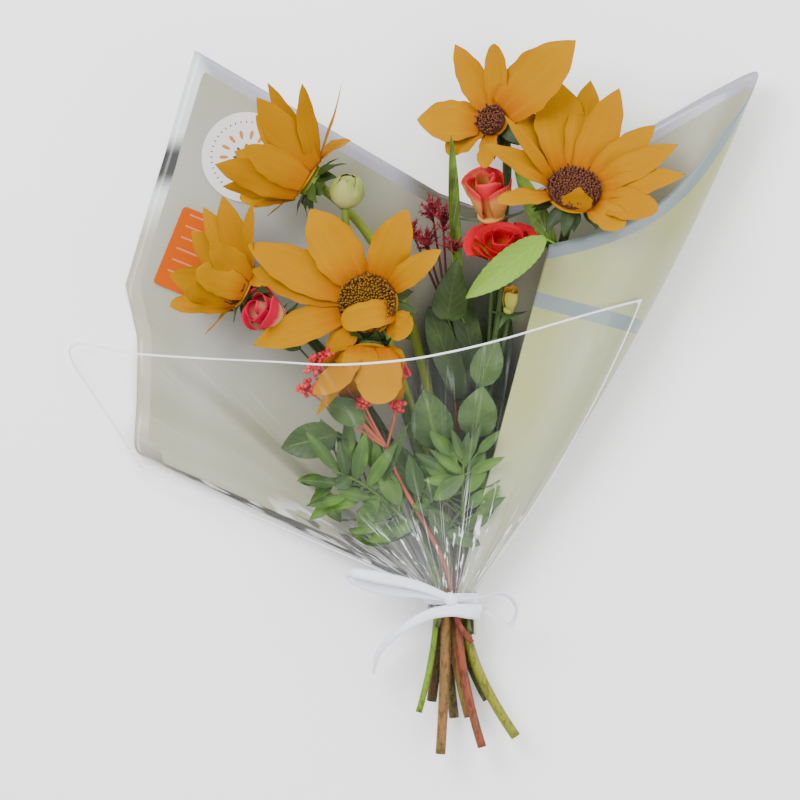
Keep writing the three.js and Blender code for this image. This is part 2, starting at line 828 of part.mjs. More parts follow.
// A head of eight drop-shaped florets: an octahedron with each of its faces drawn out.
const CORE = 1.6;
function floretHead(centre, reach, turn, pad) {
  const positions = [];
  const corner = (axis, sign) => {
    const p = [0, 0, 0];
    p[axis] = sign;
    return vec(...p).applyEuler(turn);
  };
  for (let octant = 0; octant < 8; octant += 1) {
    const sign = (bit) => (octant & bit ? -1 : 1);
    const face = [corner(0, sign(1)), corner(1, sign(2)), corner(2, sign(4))];
    if (sign(1) * sign(2) * sign(4) < 0) face.reverse();
    const out = face[0].clone().add(face[1]).add(face[2]).normalize();
    const long = reach * (0.82 + 0.09 * ((octant * 5) % 4));
    const tip = centre.clone().addScaledVector(out, long + pad);
    const low = face.map((f) => centre.clone().addScaledVector(f, CORE + pad));
    const high = face.map((f) =>
      centre
        .clone()
        .addScaledVector(out, long * 0.66)
        .addScaledVector(f.clone().addScaledVector(out, -f.dot(out)).normalize(), 1.9 + pad),
    );
    for (let i = 0; i < 3; i += 1) {
      const j = (i + 1) % 3;
      positions.push(low[i], low[j], high[j], low[i], high[j], high[i], high[i], high[j], tip);
    }
  }
  return solid(new THREE.BufferGeometry().setFromPoints(positions));
}

function filler(spray, pad) {
  const random = seeded(spray.seed);
  const fork = vec(...spray.fork);
  const curve = stemCurve(spray, fork, vec(-0.2, 0.9, 0.3).normalize());
  const core = [tube(curve, THIN_STEM, 1.5, 5, 12, pad)];
  const frills = [];
  for (const [x, y, z, spread] of spray.heads) {
    const centre = vec(x, y, z);
    const lift = fork.clone().lerp(centre, 0.5).add(vec(0, -2, -4));
    core.push(tube(new THREE.QuadraticBezierCurve3(fork, lift, centre), 1.2, 0.9, 3, 3, pad));
    const turn = new THREE.Euler(3 * random(), 3 * random(), 3 * random());
    frills.push(floretHead(centre, spread, turn, pad));
  }
  return [core, frills];
}

// ---------------------------------------------------------------- leafy sprays
const LEAFY = {
  left: {
    slot: slotAt(13.8, 120),
    end: [26, -160, 30],
    top: [-47, -50, 46],
    way: [-0.97, 0.24, 0.02],
    leaves: [
      [0.97, [-67, -21, 45], 9],
      [0.93, [-43, -28, 55], 9],
      [0.88, [-24, -22, 58], 11],
      [0.82, [-2, -29, 60], 10],
      [0.78, [6, -16, 60], 10],
      [0.9, [-46, -61, 46], 10],
      [0.62, [-60, -58, 27], 12, [-42, -86, 25]],
      [0.62, [-14, -65, 43], 13, [-29, -90, 32]],
      [0.6, [15, -84, 46], 12, [-14, -94, 36]],
      [0.66, [-26, -62, 40], 15, [-6, -84, 38]],
      [0.6, [-44, -40, 42], 14, [-30, -70, 38]],
      [0.62, [-16, -44, 50], 14, [0, -74, 42]],
      [0.55, [6, -38, 54], 13, [14, -68, 46]],
      [0.5, [-37, -91, 26], 12, [-8, -101, 28]],
    ],
  },
  right: {
    slot: slotAt(THIN_RING, 30),
    end: [49, -163, 27],
    top: [45, -40, 54],
    way: [0.1, 0.97, 0.2],
    hold: 0.12,
    leaves: [
      [0.98, [36, -20, 60], 7],
      [0.97, [48, -22, 58], 7],
      [0.94, [57, -16, 58], 6],
      [0.9, [20, -34, 60], 7],
      [0.86, [16, -56, 58], 9],
      [0.7, [57, -102, 44], 12, [33, -92, 48]],
      [0.8, [46, -52, 56], 12, [24, -70, 54]],
      [0.66, [38, -34, 52], 13, [31, -64, 46]],
      [0.5, [20, -76, 50], 12, [34, -100, 42]],
    ],
  },
};

function leafySpray(spray, pad) {
  const way = vec(...spray.way).normalize();
  const curve = stemCurve(spray, vec(...spray.top), way);
  const leaves = spray.leaves.flatMap(([at, tip, width, base]) =>
    leafOn(curve, { at, tip, width, base, curl: -34, cup: 0.35, across: 1 }, pad),
  );
  return [[tube(curve, THIN_STEM, 1, 5, 12, pad)], leaves];
}

// ---------------------------------------------------------------- wrap and clear film
// The films are fans of lines from a ring round the bundle to the film's edge. A row of a rim is
// [x, y, z, angle on the ring, how far the line bows out sideways, how far it bows up].
const WRAP_RIM = [
  [-178, -41, 12, 165, 0, 0],
  [-188, -33, 8, 172, 0, 0],
  [-187, 2, 4, 182, 0, 0],
  [-187, 46, 1.2, 192, 0, 0],
  [-195, 82, 0.4, 201, 0, 0],
  [-182, 126, 0.4, 210, 0, 0],
  [-166, 178, 0.4, 219, 0, 0],
  [-145.6, 248.5, 0.4, 230, 0, 0],
  [-100, 222, 0.4, 236, 0, 0],
  [-50, 192.6, 0.4, 243, 0, 0],
  [0, 163.4, 0.4, 251, 0, 0],
  [28, 147, 0.4, 258, 0, 0],
  [52, 138, 0.4, 264, 0, 0],
  [85, 144, 0.4, 272, 2, 0],
  [120, 160, 0.4, 281, 6, 0],
  [154, 180, 0.4, 290, 12, 0],
  [192, 202, 2, 300, 20, 0],
  [226, 221, 9, 312, 26, 0],
  [252, 232, 24, 326, 28, 0],
  [245, 212, 40, 340, 28, 4],
  [225, 186, 51, 356, 26, 8],
  [203, 158, 59, 372, 20, 10],
  [175, 134, 65, 390, 12, 12],
  [140, 118, 69, 412, 4, 12],
  [104, 108.5, 69, 435, 0, 10],
];
const CLEAR_RIM = [
  [-184, -47, 21, 163, 0, 2],
  [-212, -4, 16, 160, 0, 2],
  [-234, 30, 12, 156, 0, 2],
  [-226, 40.5, 15, 152, 0, 4],
  [-192, 34, 26, 147, 0, 10],
  [-140, 30, 46, 140, 0, 18],
  [-84, 27, 82, 132, 0, 26],
  [-45, 25, 107, 121, 0, 24],
  [0, 28, 110, 107, 0, 20],
  [35, 34, 108, 92, 0, 20],
  [72, 43, 98, 77, 2, 18],
  [112, 55, 84, 61, 6, 16],
  [147, 65, 68, 45, 12, 14],
  [170, 71, 56, 30, 18, 12],
];
const TAIL = 9; // how far the films reach below the tie
const FLAT_FROM = 0.3; // share of a line past which the wrap lies flat on the table
const LEVELS = [0, 0.1, 0.24, 0.44, 0.7, 1];

function filmPoint(row, radius, t) {
  const [x, y, z, degrees, bowSide, bowUp] = row;
  const a = radians(degrees);
  const neck = vec(TIE.x + radius * Math.cos(a), TIE.y + HOLD, TIE.z + radius * Math.sin(a));
  const lies = z < 1;
  const drop = lies ? THREE.MathUtils.smoothstep(t, 0, FLAT_FROM) : t;
  const bow = 2 * t * (1 - t);
  return vec(mix(neck.x, x, t) + bowSide * bow, mix(neck.y, y, t), mix(neck.z, z, drop) + bowUp * bow);
}

function film(rim, radius, pad, tail) {
  const rows = rim.map((row) => {
    const points = LEVELS.map((t) => filmPoint(row, radius, t));
    const a = radians(row[3]);
    const out = vec(Math.cos(a), 0, Math.sin(a));
    const hold = points[0].clone().add(vec(0, -2 * HOLD, 0));
    const below = hold.clone().add(vec(0, HOLD - tail(row), 0)).addScaledVector(out, 0.8);
    return [below, hold, ...points];
  });
  const grid = rows.map((row, i) =>
    row.map((p, j) => {
      const across = rows[Math.min(i + 1, rows.length - 1)][j].clone().sub(rows[Math.max(i - 1, 0)][j]);
      const along = row[Math.min(j + 1, row.length - 1)].clone().sub(row[Math.max(j - 1, 0)]);
      return { p, n: across.cross(along).normalize() };
    }),
  );
  return solid(sheet(pad ? growBorder(grid, pad) : grid, FILM / 2 + pad));
}

// The wrap's tail is long on the right, where its pale back shows below the ribbon.
const wrapTail = ([, , , angle]) => (angle > 320 && angle < 385 ? 26 : TAIL);
const wrapFilm = (pad) => [[film(WRAP_RIM, NECK_RADIUS, pad, wrapTail)], []];
const clearFilm = (pad) => [[film(CLEAR_RIM, NECK_RADIUS + FILM + GAP + 0.05, pad, () => TAIL)], []];

// ---------------------------------------------------------------- labels on the wrap
const LABEL = 0.6;
const LABEL_FLOOR = FILM + GAP + 0.05;
const ROUND_LABEL = { x: -109, y: 172.5, radius: 32 };
const PRICE_LABEL = { x: -147, y: 103.5, width: 38, length: 59, turn: -22, corner: 3 };

function roundLabel(pad) {
  const { x, y, radius } = ROUND_LABEL;
  const [low, high] = [LABEL_FLOOR, LABEL_FLOOR + LABEL + pad];
  const profile = [[0, low], [radius + pad, low], [radius + pad, high], [0, high]];
  return [[lathe(profile, 28).translate([x, y, 0])], []];
}

function priceLabel(pad) {
  const { width, length, corner } = PRICE_LABEL;
  const shape = new THREE.Shape();
  const [w, l] = [width / 2 + pad, length / 2 + pad];
  shape.moveTo(-w + corner, -l).lineTo(w - corner, -l).quadraticCurveTo(w, -l, w, -l + corner);
  shape.lineTo(w, l - corner).quadraticCurveTo(w, l, w - corner, l);
  shape.lineTo(-w + corner, l).quadraticCurveTo(-w, l, -w, l - corner);
  shape.lineTo(-w, -l + corner).quadraticCurveTo(-w, -l, -w + corner, -l);
  const slab = new THREE.ExtrudeGeometry(shape, {
    depth: LABEL + pad,
    bevelEnabled: false,
    curveSegments: 3,
  });
  slab.rotateZ(radians(PRICE_LABEL.turn));
  slab.translate(PRICE_LABEL.x, PRICE_LABEL.y, LABEL_FLOOR);
  return [[solid(slab)], []];
}

// ---------------------------------------------------------------- ribbon
// A strip is a list of [x, y, z, width, turn]: turn 0 lays it flat and 90 stands it on edge.
const KNOT = [36, -140.5, 40.4];
const RIBBON_STRIPS = {
  leftLoop: [
    [34, -139, 40.6, 5, 10],
    [14, -131, 44, 7, 14],
    [-6, -126, 46, 8, 16],
    [-22, -123, 45, 8, 14],
    [-33, -122, 42, 7, 6],
    [-35, -125, 38, 6, 0],
    [-24, -130.5, 37, 7, -6],
    [-6, -134.5, 38, 7, -6],
    [14, -136.5, 40, 6, -4],
    [33, -139.5, 40.2, 5, 0],
  ],
  rightLoop: [
    [40, -141, 40.6, 5, 40],
    [57, -139.4, 45, 5, 60],
    [69, -136, 45, 5, 62],
    [78, -139.5, 43, 5, 62],
    [82, -149, 39, 5, 62],
    [77, -158.5, 35, 5, 60],
    [68, -153, 35, 5, 60],
    [60, -148.6, 37, 5, 60],
  ],
  tail: [
    [57, -149.6, 36, 11, -10],
    [48, -148.6, 40.4, 10.5, -6],
    [36, -148, 42, 8.5, 0],
    [20, -151, 42, 7.5, 6],
    [4, -159.5, 40, 6.5, 14],
    [-8, -169, 35, 5.5, 26],
    [-16, -180, 28, 4.5, 38],
    [-19, -193.5, 18, 2.4, 50],
  ],
};

function strip(points, pad) {
  const curve = new THREE.CatmullRomCurve3(points.map(([x, y, z]) => vec(x, y, z)), false, "centripetal");
  const steps = (points.length - 1) * 2;
  const grid = [];
  for (let i = 0; i <= steps; i += 1) {
    const t = i / steps;
    const at = Math.min(Math.floor(t * (points.length - 1)), points.length - 2);
    const share = t * (points.length - 1) - at;
    const width = mix(points[at][3], points[at + 1][3], share) + 2 * pad;
    const turn = radians(mix(points[at][4], points[at + 1][4], share));
    const p = curve.getPoint(t);
    const along = curve.getTangent(t);
    const flat = vec(0, 0, 1).cross(along).normalize();
    const side = flat.applyAxisAngle(along, turn);
    const n = new THREE.Vector3().crossVectors(side, along).normalize();
    grid.push([
      { p: p.clone().addScaledVector(side, width / 2), n },
      { p: p.clone().addScaledVector(side, -width / 2), n },
    ]);
  }
  return solid(sheet(grid, FILM / 2 + pad));
}

function ribbon(pad) {
  const inner = RIBBON_RADIUS - pad;
  const outer = RIBBON_RADIUS + FILM + pad;
  const half = RIBBON_WIDTH / 2 + pad;
  const profile = [[inner, -half], [outer, -half], [outer, half], [inner, half], [inner, -half]];
  const band = lathe(profile, 20)
    .rotate([90, 0, 0])
    .translate([TIE.x, TIE.y, TIE.z]);
  const knot = new THREE.SphereGeometry(1, 7, 5);
  knot.scale(5 + pad, 4.2 + pad, 3 + pad);
  knot.translate(...KNOT);
  const strips = Object.values(RIBBON_STRIPS).map((points) => strip(points, pad));
  return [[band, solid(knot), ...strips], []];
}

// ---------------------------------------------------------------- the bouquet
// Where two cores or two frills would cross, the later piece of this list makes way.
const pieces = [
  ["wrap_film", "film", wrapFilm],
  ["clear_film", "clear", clearFilm],
  ["ribbon", "ribbon", ribbon],
  ["label_round", "paper", roundLabel],
  ["label_price", "orange", priceLabel],
];
const eachOf = (table, name, colour, make) =>
  Object.entries(table).forEach(([key, entry]) =>
    pieces.push([name.replace("*", key), colour, (pad) => make(entry, pad)]),
  );
eachOf(SUNFLOWERS, "sunflower_*_stem", "stem", sunflowerGreen);
eachOf(SUNFLOWERS, "sunflower_*_disc", "disc", disc);
eachOf(ROSE_STEMS, "rose_stem_*", "darkLeaf", roseStem);
eachOf(SUNFLOWERS, "sunflower_*_rays", "petal", rays);
eachOf(ROSES, "rose_*", "rose", rose);
pieces.push(["green_bud", "paleLeaf", greenBud]);
eachOf(FILLERS, "*_spray", "coral", filler);
eachOf(LEAFY, "leafy_spray_*", "paleLeaf", leafySpray);

const SMALLEST_EDGE = 0.02; // edges shorter than this are dropped after a cut

function material(name) {
  return new THREE.MeshStandardMaterial({
    color: COLOURS[name],
    roughness: name === "clear" || name === "film" ? 0.25 : 0.6,
    metalness: 0,
    transparent: name === "clear",
    opacity: name === "clear" ? 0.3 : 1,
    side: THREE.DoubleSide,
  });
}

// The largest body of a cut piece: a scrap that a cut leaves loose is dropped.
function largest(shape) {
  const bodies = shape.decompose();
  return bodies.sort((a, b) => b.volume() - a.volume())[0];
}

const cutBy = (shape, others) =>
  others.reduce((rest, other) => (rest.intersect(other).isEmpty() ? rest : rest.subtract(other)), shape);

const bouquet = new THREE.Group();
const grown = pieces.map(([, , make]) => make(GAP).map(join));
pieces.forEach(([name, colour, make], i) => {
  const [core, frills] = make(0).map(join);
  const before = grown.slice(0, i);
  const otherCores = grown.filter((_, j) => j !== i).map((other) => other[0]);
  const keptCore = cutBy(core, before.map((other) => other[0]));
  const keptFrills = cutBy(frills, [...otherCores, ...before.map((other) => other[1])]);
  const shape = largest(join([keptCore, keptFrills]).simplify(SMALLEST_EDGE));
  const { vertProperties, triVerts } = shape.getMesh();
  const geometry = new THREE.BufferGeometry();
  geometry.setAttribute("position", new THREE.BufferAttribute(vertProperties, 3));
  geometry.setIndex(new THREE.BufferAttribute(triVerts, 1));
  const mesh = new THREE.Mesh(geometry, material(colour));
  mesh.name = name;
  bouquet.add(mesh);
});

const box = new THREE.Box3().setFromObject(bouquet);
const middle = box.getCenter(vec(0, 0, 0));
bouquet.position.set(-middle.x, -middle.y, -box.min.z);

export default bouquet;
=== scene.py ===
"""A mixed flower bouquet in a film wrap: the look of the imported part."""
import math
import random

import bpy
from bpy.props import FloatProperty, FloatVectorProperty, IntProperty, PointerProperty
from mathutils import Matrix, Vector


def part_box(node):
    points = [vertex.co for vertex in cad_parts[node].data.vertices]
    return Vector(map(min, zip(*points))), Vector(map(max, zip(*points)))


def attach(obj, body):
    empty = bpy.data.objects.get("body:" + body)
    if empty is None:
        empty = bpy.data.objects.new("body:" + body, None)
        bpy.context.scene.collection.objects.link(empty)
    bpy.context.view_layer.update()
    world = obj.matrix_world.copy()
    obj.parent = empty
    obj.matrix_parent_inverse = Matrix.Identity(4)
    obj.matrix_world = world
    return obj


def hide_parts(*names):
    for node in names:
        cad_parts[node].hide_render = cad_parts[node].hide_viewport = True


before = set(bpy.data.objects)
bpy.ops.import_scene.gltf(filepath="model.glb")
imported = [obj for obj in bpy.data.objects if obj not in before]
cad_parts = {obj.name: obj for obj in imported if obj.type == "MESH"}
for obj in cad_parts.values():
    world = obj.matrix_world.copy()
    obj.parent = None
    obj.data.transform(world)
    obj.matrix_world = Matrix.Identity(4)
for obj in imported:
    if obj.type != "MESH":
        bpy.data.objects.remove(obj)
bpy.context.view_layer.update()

bl_info = {
    "name": "Mixed flower bouquet",
    "version": (1, 0, 0),
    "blender": (4, 5, 0),
    "location": "3D View > Sidebar > Bouquet",
    "description": "Builds a wrapped bouquet of sunflowers, spray roses and greenery",
    "category": "Add Mesh",
}

MM = 0.001
GOLDEN_ANGLE = math.radians(137.5)

# The plan frame has Z 0 on the table; the round label's middle is known in both frames.
ROUND_LABEL = {"x": -109.0, "y": 172.5, "radius": 32.0}


def plan_shift():
    """The way from the plan frame to the CAD frame, in millimetres."""
    low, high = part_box("label_round")
    middle = (low + high) / 2 / MM
    return Vector((middle.x - ROUND_LABEL["x"], middle.y - ROUND_LABEL["y"], 0))


SHIFT = plan_shift()

# ------------------------------------------------------------------ the layout, in millimetres
TIE = Vector((36.4, -140.0, 19.6))
THICK_STEM, THIN_STEM = 3.6, 2.0
THICK_RING, THIN_RING = 7.7, 11.9
NECK_RADIUS = 16.6
FILM_STEP = 1.2
HOLD = 5.0  # the films are straight this far on both sides of the tie
RIBBON_RADIUS, RIBBON_WIDTH = 18.7, 8.0


def slot_at(radius, degrees):
    """A stem's place in the tie, across and up from its middle."""
    return (radius * math.cos(math.radians(degrees)), radius * math.sin(math.radians(degrees)))


# A ray is angle, length, width, rise and curl, and a turn where its blade leaves the way of its root.
SUNFLOWERS = {
    "front": {
        "at": (-22, 67, 74), "faces": (-0.26, 0.1, 0.96), "disc": 21,
        "slot": (0, 0), "end": (49, -224, 17), "hold": 0.3, "bend": 0.06, "shoot": 0.62,
        "rays": [
            (120, 58, 35, 14, -12), (153, 76, 30, 12, -12), (162, 68, 27, 6, -8),
            (197, 66, 27, 10, -14), (66, 51, 29, 16, -14), (33, 45, 18, 24, -30),
            (234, 26, 20, 10, -30), (325, 16, 22, 10, -14), (342, 42, 20, 66, -104, -149),
        ],
    },
    "low": {
        "at": (-21, 34, 70), "faces": (-0.05, -0.94, 0.34), "disc": 13,
        "slot": slot_at(THICK_RING, 120), "end": (28.7, -250, 21), "hold": 0.3, "bend": 0.13,
        "bract": 11, "inset": 3.5,
        "rays": [
            (164, 44, 30, 66, -16), (122, 28, 26, 94, -10), (48, 42, 32, 92, -14),
            (5, 14, 18, 40, -20), (190, 24, 20, 34, -16), (186, 52, 12, 68, -8),
            (250, 40, 24, 66, -10), (310, 34, 22, 60, -14),
        ],
    },
    "right": {
        "at": (121, 145, 84), "faces": (0.08, 0.64, 0.76), "disc": 19,
        "slot": slot_at(THICK_RING, 0), "end": (82, -238, 18), "hold": 0.2, "bend": 0.26,
        "rays": [
            (196, 37, 18, 12, -14), (158, 52, 23, 26, -16), (146, 56, 9, 44, -10),
            (122, 57, 32, 18, -4), (100, 72, 40, 22, -4), (82, 72, 26, 20, -6),
            (68, 69, 27, 24, -6), (39, 58, 24, 24, -4), (22, 62, 22, 24, -6), (4, 60, 21, 20, -8),
            (338, 42, 27, 14, -6), (315, 28, 22, 10, -12), (272, 22, 22, 84, 20),
        ],
    },
    "top": {
        "at": (65, 195, 60), "faces": (-0.42, 0.3, 0.86), "disc": 11,
        "slot": slot_at(THICK_RING, 300), "end": (62, -212, 9), "hold": 0.3, "bend": 0.16,
        "rays": [
            (112, 54, 21, 10, 0), (79, 44, 17, 12, 22), (174, 45, 33, 14, -8),
            (35, 71, 40, 10, -6), (262, 25, 16, 14, -10), (204, 29, 22, 8, -20),
        ],
    },
    "side": {
        "at": (-66, 156, 50), "faces": (-0.83, 0.54, 0.14), "disc": 15, "inset": 3,
        "slot": slot_at(THICK_RING, 240), "end": (38.5, -225, 8), "hold": 0.17, "bend": 0.34,
        "rays": [
            (230, 63, 25, 76, -8), (317, 70, 25, 68, -8), (336, 65, 17, 43, -6),
            (0, 58, 8, 10, 14), (15, 27, 26, -8, -35), (20, 64, 19, 67, -4), (270, 54, 24, 74, -8),
            (200, 51, 23, 67, -8), (175, 38, 20, 53, -8), (185, 24, 8, 22, -8),
            (120, 54, 24, 67, -8), (70, 54, 24, 72, -8),
        ],
    },
    "left": {
        "at": (-112, 78, 42), "faces": (-0.84, 0.42, 0.34), "disc": 14,
        "slot": slot_at(THICK_RING, 180), "end": (22.4, -213, 13), "hold": 0.3, "bend": 0.26,
        "rays": [
            (54, 56, 23, 43, -8), (30, 50, 21, 30, -8), (70, 55, 19, 54, -8), (91, 48, 24, 61, -8),
            (146, 46, 25, 71, -8), (209, 44, 20, 69, -8), (222, 28, 12, 25, -8),
            (341, 45, 24, 73, -8), (302, 41, 22, 84, -8), (239, 39, 22, 84, -8),
            (344, 16, 13, -20, -60),
        ],
    },
}
# A leaf is where it leaves its stem, its base, tip, width, outline, cup, and what else differs.
# Leaves marked dark take the darker bract green, partly their own colour, partly painted shade deep in the
# bunch.
SUNFLOWERS["top"]["leaves"] = [
    {"at": 0.58, "base": (42, 60, 50), "tip": (35.5, 186, 66), "width": 11, "outline": "strap",
     "curl": 14, "up": (0.75, 0, 0.66), "cup": 0.7},
    {"at": 0.44, "base": (44, 0, 38), "tip": (20, 66, 48), "width": 20, "outline": "strap", "curl": -16,
     "dark": True},
    {"at": 0.47, "base": (56, 8, 38), "tip": (40, 84, 44), "width": 18, "outline": "strap", "curl": -12,
     "dark": True},
    {"at": 0.54, "base": (33, 56, 52), "tip": (40, 100, 60), "width": 24, "outline": "heart", "cup": 0.4,
     "dark": True},
]
SUNFLOWERS["right"]["leaves"] = [
    {"at": 0.9, "base": (101, 113, 91), "tip": (45, 70, 95), "width": 23, "outline": "ovate",
     "cup": 0.3, "curl": -44, "pale": True},
    {"at": 0.5, "base": (70, 0, 30), "tip": (74, 70, 34), "width": 14, "outline": "strap", "curl": -16,
     "dark": True},
    {"at": 0.72, "base": (110, 100, 58), "tip": (78, 168, 84), "width": 14, "cup": 0.4},
]
# The colours of the stems above the tie, where they differ, and below it.
HIGH_STEMS = {"side": (0.15, 0.19, 0.014), "front": (0.13, 0.18, 0.014)}
LOW_STEMS = {
    "front": (0.15, 0.058, 0.014), "low": (0.19, 0.085, 0.018), "right": (0.19, 0.19, 0.01),
    "top": (0.06, 0.07, 0.014), "side": (0.1, 0.06, 0.02), "left": (0.07, 0.03, 0.012),
}
BRACTS = 6
RAY_FLOOR, RAY_TOP, DISC_FLOOR = -1.2, 0.5, 0.85
RAY_FOOT, OVERLAP, FACE_UP = -0.35, 9.0, 38.0
DISC_RINGS = [(0.0, 5.0), (0.28, 4.6), (0.52, 4.8), (0.78, 4.0), (1.0, 2.6)]

ROSES = {
    "upper": {"at": (64, 128, 54), "faces": (-0.1, 0.8, 0.55), "radius": 21, "height": 37,
              "petals": 7, "open": 0.3},
    "lower": {"at": (73, 99, 71), "faces": (0.02, 0.8, 0.6), "radius": 26, "height": 22,
              "petals": 10, "open": 0.8},
    "bud": {"at": (76, 62, 58), "faces": (0.05, 0.85, 0.5), "radius": 8, "height": 19,
            "petals": 4, "open": 0.05},
    "left": {"at": (-85, 57, 50), "faces": (-0.72, 0.3, 0.6), "radius": 19, "height": 27,
             "petals": 7, "open": 0.35},
}
ROSE_FLOOR = 3.0
ROSE_STEMS = {
    "right": {
        "slot": slot_at(THICK_RING, 60), "end": (58, -245, 26), "radius": THICK_STEM - 0.4,
        "main": "lower", "sides": [("upper", 0.74), ("bud", 0.66)],
        "leaves": [
            {"at": 0.47, "base": (26, -34, 50), "tip": (17, 8, 66), "width": 32, "cup": 0.12},
            {"at": 0.5, "base": (52, -26, 48), "tip": (58, 10, 58), "width": 30, "cup": 0.15},
            {"at": 0.44, "base": (12, -62, 42), "tip": (-14, -26, 49), "width": 24},
            {"at": 0.56, "base": (56, 10, 44), "tip": (68, 44, 50), "width": 24},
            {"at": 0.42, "base": (34, -68, 40), "tip": (12, -36, 40), "width": 26, "outline": "heart"},
            {"at": 0.4, "base": (46, -72, 34), "tip": (58, -34, 38), "width": 24, "outline": "heart"},
        ],
    },
    "left": {
        "slot": slot_at(THIN_RING, 150), "end": (13.3, -220.5, 24), "bend": 0.12,
        "radius": THIN_STEM + 0.4, "main": "left", "sides": [],
        "leaves": [
            {"at": 0.58, "base": (-44, -24, 44), "tip": (-84, -34, 38), "width": 27, "cup": 0.12},
            {"at": 0.6, "base": (-24, -14, 56), "tip": (-54, 0, 60), "width": 21},
            {"at": 0.66, "base": (-70, 36, 44), "tip": (-92, 52, 44), "width": 15},
        ],
    },
}
GREEN_BUD = {"at": (-37, 146, 66), "faces": (0.1, 0.92, 0.38), "radius": 12}

# A head of florets is x, y, z, reach.
FILLERS = {
    "coral": {
        "slot": slot_at(THIN_RING, 90), "end": (51, -171, 33), "fork": (-9, -34, 54), "seed": 3,
        "heads": [(-52, 10, 62, 9), (-60, 24, 64, 8), (-66, 8, 60, 7), (-26, -1, 66, 6),
                  (-2, -4, 64, 6), (-50, 30, 66, 7), (2, 20, 60, 6)],
    },
    "red": {
        "slot": slot_at(THIN_RING, 270), "end": (49, -206, 4), "fork": (34, 60, 40), "seed": 8,
        "heads": [(18, 112, 46, 9), (30, 128, 50, 9), (22, 136, 40, 7), (38, 108, 54, 8),
                  (8, 120, 38, 7), (154, 178, 56, 6)],
    },
}
FILLER_WAY = (-0.2, 0.9, 0.3)

# A leaf of a leafy spray is where it leaves the stem, its tip, its width, and where its blade
# starts if that is not on the stem.
LEAFY = {
    "left": {
        "slot": slot_at(13.8, 120), "end": (26, -160, 30), "top": (-47, -50, 46),
        "way": (-0.97, 0.24, 0.02),
        "leaves": [
            (0.97, (-67, -21, 45), 9), (0.93, (-43, -28, 55), 9), (0.88, (-24, -22, 58), 11),
            (0.82, (-2, -29, 60), 10), (0.78, (6, -16, 60), 10), (0.9, (-46, -61, 46), 10),
            (0.62, (-60, -58, 27), 12, (-42, -86, 25)), (0.62, (-14, -65, 43), 13, (-29, -90, 32)),
            (0.6, (15, -84, 46), 12, (-14, -94, 36)),
            (0.66, (-26, -62, 40), 15, (-6, -84, 38)), (0.6, (-44, -40, 42), 14, (-30, -70, 38)),
            (0.62, (-16, -44, 50), 14, (0, -74, 42)), (0.55, (6, -38, 54), 13, (14, -68, 46)),
            (0.5, (-37, -91, 26), 12, (-8, -101, 28)),
        ],
    },
    "right": {
        "slot": slot_at(THIN_RING, 30), "end": (49, -163, 27), "top": (45, -40, 54),
        "way": (0.1, 0.97, 0.2), "hold": 0.12,
        "leaves": [
            (0.98, (36, -20, 60), 7), (0.97, (48, -22, 58), 7), (0.94, (57, -16, 58), 6),
            (0.9, (20, -34, 60), 7), (0.86, (16, -56, 58), 9), (0.7, (57, -102, 44), 12, (33, -92, 48)),
            (0.8, (46, -52, 56), 12, (24, -70, 54)), (0.66, (38, -34, 52), 13, (31, -64, 46)),
            (0.5, (20, -76, 50), 12, (34, -100, 42)),
        ],
    },
}

# A film is a fan of lines from a ring round the bundle to the film's edge. A row of a rim is
# x, y, z, angle on the ring, how far the line bows out sideways, how far it bows up.
WRAP_RIM = [
    (-178, -41, 12, 165, 0, 0), (-188, -33, 8, 172, 0, 0), (-187, 2, 4, 182, 0, 0),
    (-187, 46, 1.2, 192, 0, 0), (-195, 82, 0.4, 201, 0, 0), (-182, 126, 0.4, 210, 0, 0),
    (-166, 178, 0.4, 219, 0, 0), (-145.6, 248.5, 0.4, 230, 0, 0), (-100, 222, 0.4, 236, 0, 0),
    (-50, 192.6, 0.4, 243, 0, 0), (0, 163.4, 0.4, 251, 0, 0), (28, 147, 0.4, 258, 0, 0),
    (52, 138, 0.4, 264, 0, 0), (85, 144, 0.4, 272, 2, 0), (120, 160, 0.4, 281, 6, 0),
    (154, 180, 0.4, 290, 12, 0), (192, 202, 2, 300, 20, 0), (226, 221, 9, 312, 26, 0),
    (252, 232, 24, 326, 28, 0), (245, 212, 40, 340, 28, 4), (225, 186, 51, 356, 26, 8),
    (203, 158, 59, 372, 20, 10), (175, 134, 65, 390, 12, 12), (140, 118, 69, 412, 4, 12),
    (104, 108.5, 69, 435, 0, 10),
]
CLEAR_RIM = [
    (-184, -47, 21, 163, 0, 2), (-212, -4, 16, 160, 0, 2), (-234, 30, 12, 156, 0, 2),
    (-226, 40.5, 15, 152, 0, 4), (-192, 34, 26, 147, 0, 10), (-140, 30, 46, 140, 0, 18),
    (-84, 27, 82, 132, 0, 26), (-45, 25, 107, 121, 0, 24), (0, 28, 110, 107, 0, 20),
    (35, 34, 108, 92, 0, 20), (72, 43, 98, 77, 2, 18), (112, 55, 84, 61, 6, 16),
    (147, 65, 68, 45, 12, 14), (170, 71, 56, 30, 18, 12),
]
TAIL, LONG_TAIL = 9.0, 26.0
FLAT_FROM = 0.3
# The wrap lies flat between two angles round the tie, and its tail is long between two others.
LYING, LONG_TAILED = (200, 296), (320, 385)
FILM_FLOOR, TABLE_GAP = 0.3, 0.02
FAR_FROM_EDGE = 99
# The flap's second band lies below a line through a point; painted shade makes the wrap darkest
# inside an ellipse behind the stems.
FLAP_BAND = {"x": 91.0, "y": 77.0, "slope": -0.261, "width": 11.0}
DEEP_SHADE = {"x": 46.0, "y": 8.0, "across": 46.0, "down": 98.0}

PRICE_LABEL = {"x": -147.0, "y": 103.5, "width": 38.0, "length": 59.0, "turn": -22.0, "corner": 3.0}
LABEL_FLOOR = 1.2
LABEL_HEIGHT = 0.6

